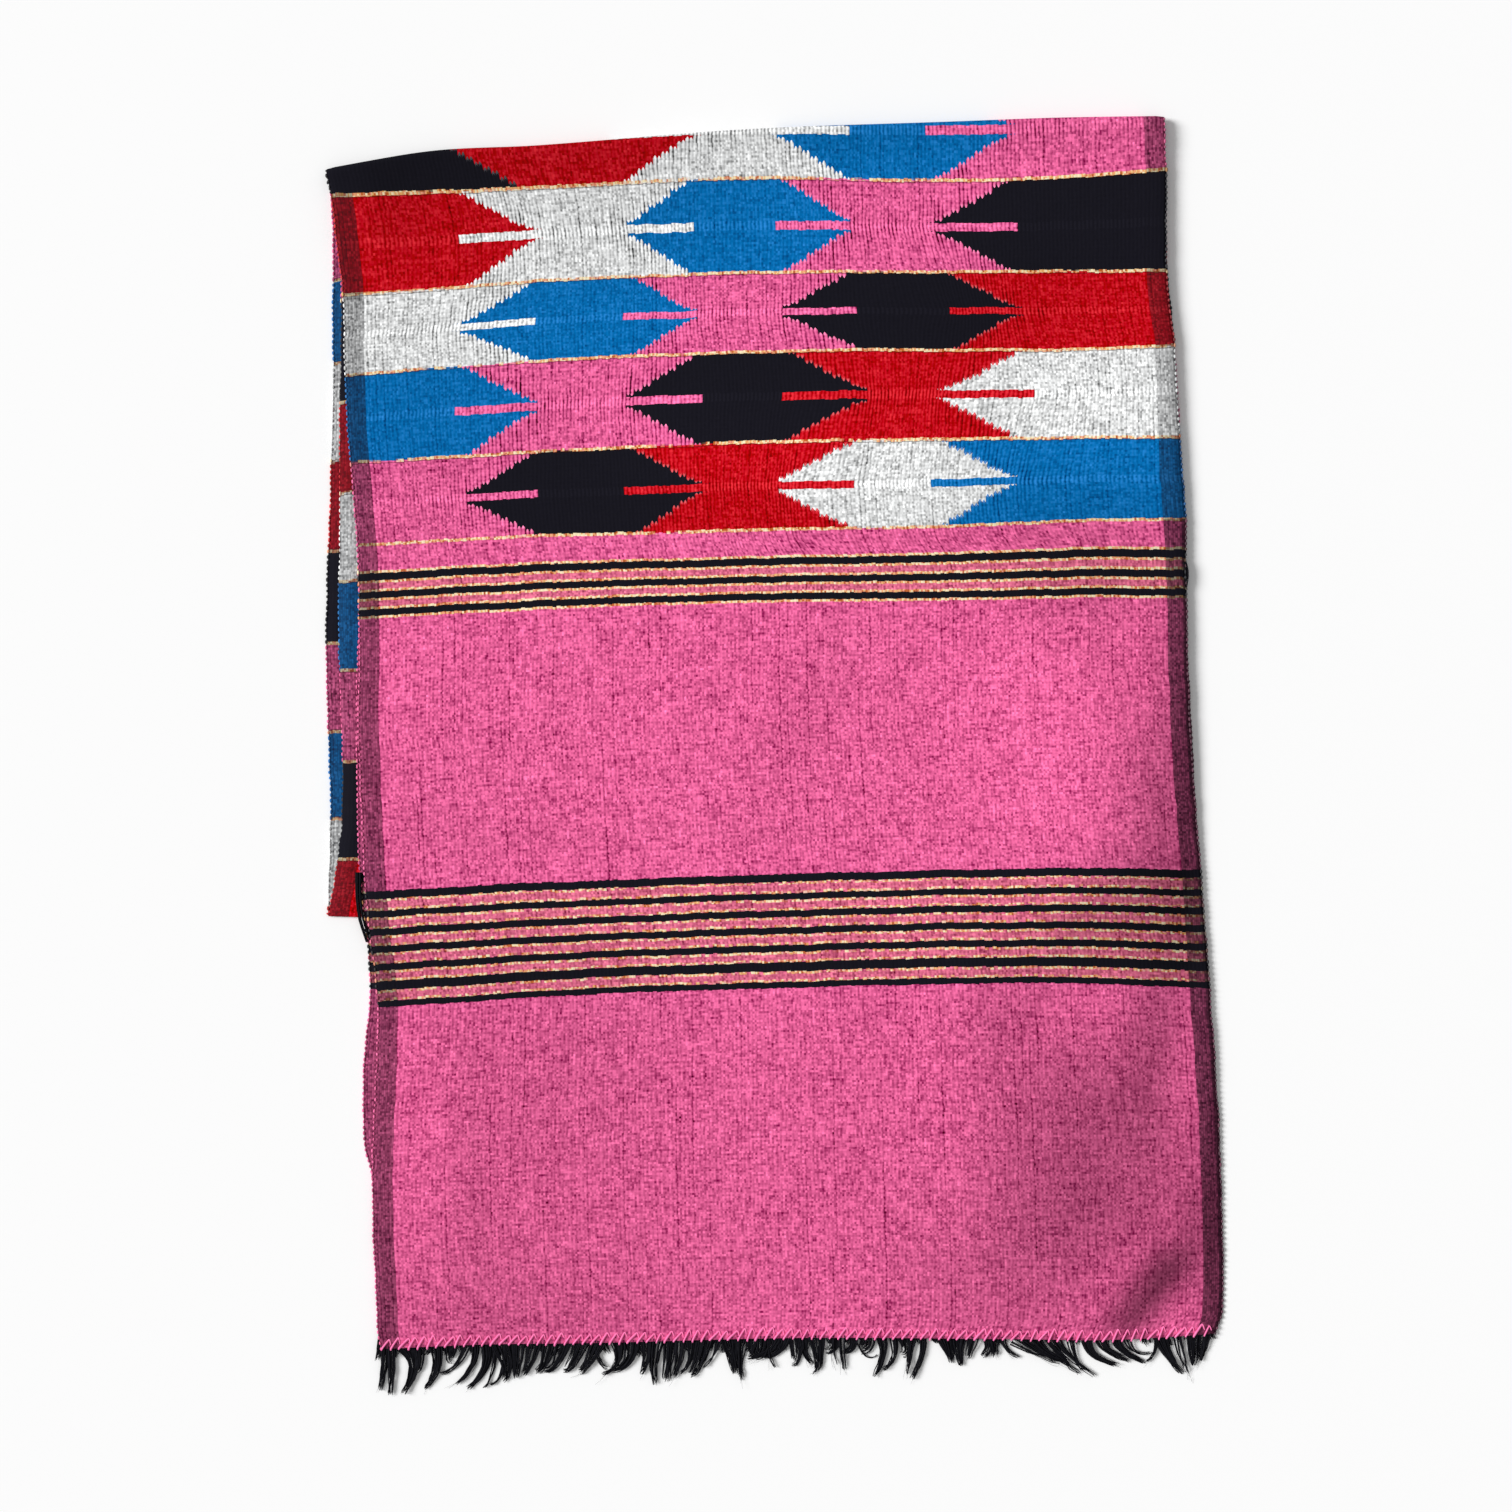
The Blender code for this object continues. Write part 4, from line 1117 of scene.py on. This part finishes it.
# clumps of the front fringe, in mm: root x and half width there, a place halfway down (x, y),
# the tip (x, y), half widths halfway and at the tip, threads
frontClumps = np.array([
    (-213.1, 1.7, -214.2, -337.9, -216.1, -348.7, 1.6, 1.1, 10),
    (-210, 2.4, -209.7, -337.9, -210.6, -351.3, 2.2, 1.2, 12),
    (-202.9, 4.7, -197.7, -335, -203.4, -350.2, 2.7, 1.4, 16),
    (-193.9, 3.8, -193.9, -333.1, -196.1, -337.9, 2.7, 2.2, 12),
    (-185.6, 3.5, -185.4, -336.9, -192.3, -347.5, 2.2, 1.1, 12),
    (-176.7, 4.5, -177.4, -329.8, -176.4, -331.3, 2.7, 2.2, 12),
    (-168.4, 2.4, -174.5, -334.1, -184, -339, 1.1, 0.8, 6),
    (-164.1, 2.8, -165.5, -334.1, -174.5, -345.2, 1.6, 0.8, 10),
    (-157.5, 3.8, -158.6, -336, -168.2, -347.3, 1.9, 0.8, 12),
    (-151.6, 1.7, -155.1, -339.8, -159.9, -347.3, 0.7, 0.3, 4),
    (-150.9, 4.7, -146.6, -335, -148.5, -343.1, 3, 1.6, 16),
    (-148.1, 1.9, -149.9, -338.8, -156.6, -345, 1.1, 0.5, 6),
    (-141.4, 4.7, -141.4, -335, -141.4, -341.7, 2.7, 1.3, 16),
    (-132, 4.7, -134.8, -333.1, -138.6, -339.8, 2.7, 1.6, 14),
    (-122.5, 4.7, -126.3, -333.1, -131, -338.3, 2.2, 1.4, 14),
    (-115, 4.7, -119.7, -333.1, -126.3, -337.9, 2.2, 1.4, 14),
    (-105.5, 4.7, -111.2, -333.6, -115.9, -336.5, 2.7, 2.2, 16),
    (-97.9, 1.9, -96.1, -331.3, -90.4, -336.5, 1.1, 1.1, 6),
    (-96.1, 4.7, -102.7, -333.6, -107.4, -337.7, 2.5, 1.6, 14),
    (-87.1, 4.3, -86.4, -333.1, -94.6, -339.3, 1.4, 0.8, 10),
    (-78.7, 5.1, -80.9, -332.7, -89.4, -336.9, 2.2, 1.4, 14),
    (-70.5, 3, -70.5, -332, -73.6, -340.1, 1.9, 0.8, 10),
    (-63.9, 3.6, -66, -335.1, -65.1, -345.2, 2.2, 1.1, 12),
    (-56.8, 3.6, -58.3, -334.1, -59.9, -343.2, 2.5, 2.2, 14),
    (-50.7, 3.6, -52.8, -334.1, -55.3, -341.2, 1.6, 1.1, 10),
    (-44.6, 3.6, -46.2, -332, -51.7, -339.1, 1.4, 0.8, 8),
    (-38, 5.1, -41.9, -333, -46.2, -340.1, 3, 2.2, 16),
    (-28.9, 2, -34, -330, -39, -335.6, 0.7, 0.5, 4),
    (-25.1, 4.8, -22.8, -330, -20.8, -340.1, 2.7, 1.6, 14),
    (-17, 4.3, -18.2, -331, -17.7, -342.7, 1.6, 0.8, 10),
    (-12.6, 4.1, -12.6, -326.9, -15.2, -329, 2.7, 2.2, 12),
    (-5.5, 4.1, -6.6, -326.9, -10.6, -328.5, 2.7, 2.7, 12),
    (-2.5, 4.1, -2.5, -329, 1.1, -336.6, 0.8, 0.5, 4),
    (2.1, 4.6, -3.5, -326.9, -13.7, -330, 1.6, 1.1, 10),
    (5.6, 4.1, 1.6, -326.4, -7.1, -329.2, 2.2, 1.6, 12),
    (11.7, 4.1, 12.2, -329.5, 9.7, -333, 2.7, 2.2, 12),
    (16.8, 3, 17.8, -328, 21.9, -334.1, 1.6, 1.1, 8),
    (22.9, 5.1, 24.4, -330.5, 23.4, -337.1, 2.7, 2, 16),
    (25.9, 3, 23.9, -333, 21.4, -339.6, 0.8, 0.5, 5),
    (32.5, 1.5, 32.8, -328, 34.6, -334.1, 0.8, 0.5, 4),
    (32.5, 4.6, 32, -323.9, 28, -326.4, 3.3, 2.7, 12),
    (37.1, 2, 37.9, -331, 39.3, -337.1, 1, 0.8, 6),
    (41.7, 4.6, 42.2, -323.7, 37.1, -325.9, 3.3, 2.7, 12),
    (44.2, 1, 50.3, -329.2, 56.9, -329, 0.3, 0.2, 2),
    (50.8, 4.6, 51.3, -323.9, 47.3, -325.9, 3.3, 2.7, 12),
    (57.9, 3.6, 59.4, -329, 54.6, -340.7, 1.9, 1.1, 12),
    (65, 2.5, 65.5, -330, 58.9, -337.1, 1.1, 0.8, 7),
    (70.9, 3.8, 72.6, -325.9, 69.6, -328.5, 2.7, 1.9, 10),
    (75.7, 3, 74.7, -326.9, 72.6, -339.6, 1.4, 0.8, 7),
    (80.8, 2, 81.3, -328, 75.5, -342.2, 1.4, 1.1, 9),
    (92.9, 4.1, 96, -327, 97.5, -333.2, 2.5, 1.6, 13),
    (101.1, 5.2, 101.1, -326.5, 102.7, -334.8, 2.7, 1.1, 14),
    (108.4, 4.1, 106.8, -326, 105.3, -330.6, 2.7, 2.2, 12),
    (115.6, 4.1, 116.6, -324.4, 113.5, -329.6, 2.7, 2.2, 12),
    (120.8, 4.1, 121.3, -325.5, 121.3, -330.1, 2.5, 1.9, 10),
    (125.7, 1.8, 128, -325.5, 135.2, -330.1, 1, 1, 5),
    (132.1, 5.2, 147.6, -328.6, 157.9, -332.7, 1.6, 1.2, 13),
    (140.4, 5.2, 149.7, -327.5, 162.1, -333.7, 1.8, 1.1, 12),
    (149.7, 2.1, 160, -332.2, 167.8, -339.4, 1, 1.1, 6),
    (153.8, 4.1, 160, -328, 176.5, -341, 1.4, 0.8, 6),
    (162.1, 2.1, 165.2, -330.6, 170.3, -337.9, 0.9, 0.7, 5),
    (171.4, 3.1, 175.5, -328.6, 187.9, -334.2, 1.8, 1, 13),
    (180.2, 4.6, 183.8, -326.5, 195.1, -331.7, 1.6, 1.1, 10),
    (188.9, 4.1, 191, -325.5, 203.4, -333.2, 1.6, 1, 11),
    (193.6, 2.6, 198.2, -326.7, 207.5, -327, 0.8, 0.5, 4),
    (209.6, 1, 208.4, -327.5, 203.4, -333.2, 0.7, 0.5, 4),
    (211.7, 4.1, 216.8, -329.6, 224.1, -339.4, 2, 1, 13),
    (218.9, 2.1, 222, -328.6, 225.6, -336.8, 0.9, 0.5, 5),
    (223, 2.1, 225.1, -328.6, 227.7, -339.9, 0.4, 0.3, 3),
    (229.7, 3.6, 230.3, -328.6, 230, -334.8, 2.7, 1.1, 15),
    (235.9, 3.6, 234.4, -326.5, 233.4, -331.7, 2.7, 1.6, 14),
])
fringe = {
    "backLocks": 104,
    "backThreads": 13,
    "backPlaces": (0.05, 0.13),     # x between the left and right end, for the lengths below
    "backLengths": (19, 18, 14, 16),        # mm, from left to right
    "backLengthSpread": (0.8, 1.1),
    "backLeans": (-14, 0, 16),      # degrees, from left to right
    "backLeanSpread": 12,
    "backHalves": (3.8 * mm, 2.6 * mm),     # half widths at the root and halfway
    "backTipHalf": (0.8, 2.0),      # mm
    "fullness": 1.35,               # threads in a front clump, against the numbers above
    "threadRadius": 0.42 * mm,
    "points": 9,
    "strayThreads": 80,
    "strayRadius": 0.10 * mm,
    "strayHalves": (0.4 * mm, 0.6 * mm, 0.9 * mm),
    "strayAway": (2.2, 1.6),        # mm, how far from a clump's tip they end, x and y
    "strayFurther": 0.16,           # and how much further than the clump
    "strayBelow": 1.5 * mm,         # at most, past the solids' box
    "curl": 0.8 * mm,
    "ragged": 2.4 * mm,             # how much shorter some threads end
    "liftSpread": 0.6 * mm,
    "fallShare": 0.4,               # how far along a thread has come down to the floor
    "carriedEase": 0.15,            # the carried weft hardly curls
    "waveScale": 140.0,             # bends in a thread, per metre
    "waveApart": 0.9,               # how unlike its neighbours' a thread's bends are
    "tipTaper": 0.65,
    "floorGap": 0.15 * mm,
    "rootInset": 1.2 * mm,
}


def rootPlace(x, underside, hemOffset):
    y = float(courseY(np.array([x]), np.array([0.0]), 0.0, hemOffset)[0]) + fringe["rootInset"]
    z = float(underside(np.array([x]), np.array([y]))[0]) + 0.5 * thickness
    return np.array((x, y, z))


def guideOf(root, middle, tip, halves, threads):  # a bent line that falls to the floor
    share = np.linspace(0, 1, fringe["points"])
    low = fringe["floorGap"] + 2.5 * fringe["threadRadius"]
    middle, tip = np.array((*middle, low)), np.array((*tip, low))
    knee = 2 * middle - 0.5 * (root + tip)
    at = share[:, None]
    line = (1 - at) ** 2 * root + 2 * at * (1 - at) * knee + at ** 2 * tip
    line[:, 2] = low + (root[2] - low) * np.clip(1 - share / fringe["fallShare"], 0, 1) ** 2
    return line, np.interp(share, (0, 0.5, 1), halves), threads


def frontGuides():
    guides = []
    for *measures, threads in frontClumps:
        x, half, middleX, middleY, tipX, tipY, middleHalf, tipHalf = (v * mm for v in measures)
        root, count = rootPlace(x, frontUnderside, 0.0), round(threads * fringe["fullness"])
        halves = (half, middleHalf, tipHalf)
        guides.append(guideOf(root, (middleX, middleY), (tipX, tipY), halves, count))
    return guides


def backGuides(seed):
    chance = random.Random(seed)
    guides = []
    low, high = backEdges[0, 1:]
    lengthPlaces = (low, *fringe["backPlaces"], high)
    for i in range(fringe["backLocks"]):
        x = low + (i + 0.5 + chance.uniform(-0.3, 0.3)) / fringe["backLocks"] * (high - low)
        root = rootPlace(x, backUnderside, folding["hemOffset"])
        fullLength = float(np.interp(x, lengthPlaces, fringe["backLengths"]))
        length = chance.uniform(*fringe["backLengthSpread"]) * fullLength * mm
        lean = float(np.interp(x, (low, 0, high), fringe["backLeans"]))
        lean = math.radians(lean + chance.gauss(0, fringe["backLeanSpread"]))
        places = [(x + reach * length * math.sin(turn * lean),
                   root[1] - reach * length * math.cos(turn * lean))
                  for reach, turn in ((0.5, 1.0), (1.0, 1.3))]
        halves = (*fringe["backHalves"], chance.uniform(*fringe["backTipHalf"]) * mm)
        guides.append(guideOf(root, *places, halves, fringe["backThreads"]))
    return guides


def strayGuides(seed):  # single hairs that leave the clumps
    chance = random.Random(seed)
    guides = []
    for i in range(fringe["strayThreads"]):
        row = frontClumps[chance.randrange(len(frontClumps))] * mm
        root = rootPlace(row[0] + chance.uniform(-1, 1) * row[1], frontUnderside, 0.0)
        away = np.array([chance.gauss(0, spread) for spread in fringe["strayAway"]]) * mm
        tip = row[4:6] + away + fringe["strayFurther"] * (row[4:6] - root[:2])
        tip[1] = max(tip[1], cadBox[0][1] - fringe["strayBelow"])
        guides.append(guideOf(root, row[2:4] + 0.7 * away[::-1], tip, fringe["strayHalves"], 1))
    return guides


# black stripe weft carried along the edges between stripes: places in mm, half the width, threads
carriedWeft = (
    (((-227.4, -64.0, 4.3), (-227.5, -72.0, 4.3), (-227.1, -81.0, 4.2), (-226.0, -89.0, 3.9),
      (-224.0, -96.0, 3.4), (-222.0, -102.0, 3.0)), 1.5 * mm, 16),
    (((224.6, 106.0, 4.6), (225.8, 102.0, 4.4), (226.0, 97.0, 4.4), (225.0, 91.0, 4.6)),
     0.9 * mm, 9),
)


def carriedGuides():
    guides = []
    for places, half, threads in carriedWeft:
        places = np.array(places) * mm
        at = np.linspace(0, len(places) - 1, fringe["points"])
        line = np.stack([np.interp(at, range(len(places)), column) for column in places.T], axis=1)
        guides.append((line, np.full(len(line), half), threads))
    return guides


def makeFringeTree():
    tree, given, result = threadGroup(
        "fringe threads", fringe, "curl", "threadRadius", "ragged", "floorGap")
    copies = node(tree, "GeometryNodeDuplicateElements", {
        "Geometry": curvesOf(tree, given), "Amount": attributeOf(tree, "threads")},
        domain="SPLINE")
    index = node(tree, "GeometryNodeInputIndex")
    chance = randomVector(tree, given["seed"], (-1, 0, -1), (1, 1, 1), ID=index)
    kept = node(tree, "GeometryNodeCaptureAttribute", {"Geometry": copies}, domain="CURVE")
    kept.capture_items.new("VECTOR", "Offset")
    feed(kept, {"Offset": chance})
    luck = Wire(tree, kept.outputs["Offset"])
    sideLuck, endLuck, liftLuck = partsOf(luck, "ShaderNodeSeparateXYZ")
    factor = wireOf(tree, "GeometryNodeSplineParameter", None, "Factor")
    late = factor.math("POWER", 2.0)

    # threads of a clump lie side by side, and some end sooner
    tangent = wireOf(tree, "GeometryNodeInputTangent")
    beside = tangent.vector("CROSS_PRODUCT", (0.0, 0.0, 1.0))
    beside = beside.vector("SCALE", sideLuck * attributeOf(tree, "spread"))
    shorter = tangent.vector("SCALE", late * endLuck * given["ragged"] * -1.0)
    upward = joined(tree, z=liftLuck * fringe["liftSpread"])
    offset = beside.vector("ADD", shorter).vector("ADD", upward)

    # and each wanders on its way
    place = wireOf(tree, "GeometryNodeInputPosition").vector("SCALE", fringe["waveScale"])
    place = place.vector("ADD", luck.vector("SCALE", fringe["waveApart"]))
    inputs = {"Vector": place, "Scale": 1.0, "Detail": 1.0}
    bends = wireOf(tree, "ShaderNodeTexNoise", inputs, "Color")
    bends = bends.vector("SUBTRACT", (0.5, 0.5, 0.5))
    curl = bends.vector("SCALE", factor * given["curl"] * 4.0)
    bent = node(tree, "GeometryNodeSetPosition", {
        "Geometry": kept.outputs["Geometry"], "Offset": offset.vector("ADD", curl)})

    # nothing goes below the floor
    x, y, z = partsOf(wireOf(tree, "GeometryNodeInputPosition"), "ShaderNodeSeparateXYZ")
    resting = node(tree, "GeometryNodeSetPosition", {
        "Geometry": bent, "Position": joined(tree, x, y, z.math("MAXIMUM", given["floorGap"]))})
    sized = node(tree, "GeometryNodeSetCurveRadius", {
        "Curve": resting, "Radius": late.math("MULTIPLY_ADD", -fringe["tipTaper"], 1.0)})
    thread = threadAlong(tree, sized, given["threadRadius"], 4)
    return finishGroup(given, result, realized(tree, thread))


fringeTree = makeFringeTree()


def makeFringe(name, guides, radius, seed, ease=1.0):  # ease: how freely the threads curl and end
    values = {"curl": ease * fringe["curl"], "ragged": ease * fringe["ragged"],
              "threadRadius": radius, "floorGap": fringe["floorGap"] + radius,
              "seed": seed, "material": fringeMaterial}
    return runNodes(name, [line for line, spread, threads in guides], fringeTree, values, {
        "spread": [value for line, spread, threads in guides for value in spread],
        "threads": [threads + 0.5 for line, spread, threads in guides for place in line]})


threadRadius = fringe["threadRadius"]
frontFringe = makeFringe("front_fringe_threads", frontGuides(), threadRadius, 51)
backFringe = makeFringe("back_fringe_threads", backGuides(61), threadRadius, 62)
looseHairs = makeFringe("loose_fringe_hairs", strayGuides(71), fringe["strayRadius"], 72)
carriedThreads = makeFringe(
    "carried_stripe_weft", carriedGuides(), threadRadius, 81, fringe["carriedEase"])
print("fringes made")

# what stands for what, and what each piece is cut from

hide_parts("front_panel")
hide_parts("back_panel")
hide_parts("folded_layers")
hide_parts("front_fringe")
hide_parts("back_fringe")
everyPiece = [frontCloth, backCloth, hiddenCloth, frontLoops, backLoops, hiddenLoops,
              frontStitches, backStitches, frontFringe, backFringe, looseHairs, carriedThreads]
for piece in everyPiece:
    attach(piece, "root")

# floor, light and camera

studio = {
    "floorSize": 6.0,
    "floorTone": 0.98,
    "floorRoughness": 0.9,
    "keyStrength": 3.46,
    "keyFrom": (-1.0, 0.2, 0.68),
    "keySpread": 26.0,              # degrees, the softness of its shadows
    "skyStrength": 0.38,
    "cameraHeight": 1.6,
    "viewWidth": 0.830,             # how much of the floor the frame takes in
    "viewCentre": (-0.0099, -0.0003),
    "sensor": 36.0,
}


def makeStage():
    bpy.ops.mesh.primitive_plane_add(size=studio["floorSize"], location=(0, 0, 0))
    floor = bpy.context.object
    floor.name = "floor"
    material, tree, shader = newMaterial("pale floor", 0.5)
    tint = studio["floorTone"]
    feed(shader, {"Base Color": (tint, tint, tint, 1.0), "Roughness": studio["floorRoughness"]})
    floor.data.materials.append(material)
    lamp = bpy.data.lights.new("key light", "SUN")
    lamp.energy = studio["keyStrength"]
    lamp.angle = math.radians(studio["keySpread"])
    key = addObject("key light", lamp)
    key.location = studio["keyFrom"]
    key.rotation_euler = (-key.location.normalized()).to_track_quat("-Z", "Y").to_euler()
    world = bpy.data.worlds.new("studio")
    world.use_nodes = True
    sky = world.node_tree.nodes["Background"]
    feed(sky, {"Color": (1.0, 1.0, 1.0, 1.0), "Strength": studio["skyStrength"]})
    bpy.context.scene.world = world


def makeCamera():
    lens = bpy.data.cameras.new("camera")
    lens.sensor_width = studio["sensor"]
    lens.lens = studio["sensor"] * studio["cameraHeight"] / studio["viewWidth"]
    lens.clip_start = 0.01
    camera = addObject("camera", lens)
    camera.location = (*studio["viewCentre"], studio["cameraHeight"])
    bpy.context.scene.camera = camera


makeStage()
makeCamera()
bpy.context.scene.view_settings.view_transform = "Standard"
for piece in everyPiece:
    triangles = sum(len(face.vertices) - 2 for face in piece.data.polygons)
    print(piece.name, triangles, "triangles")
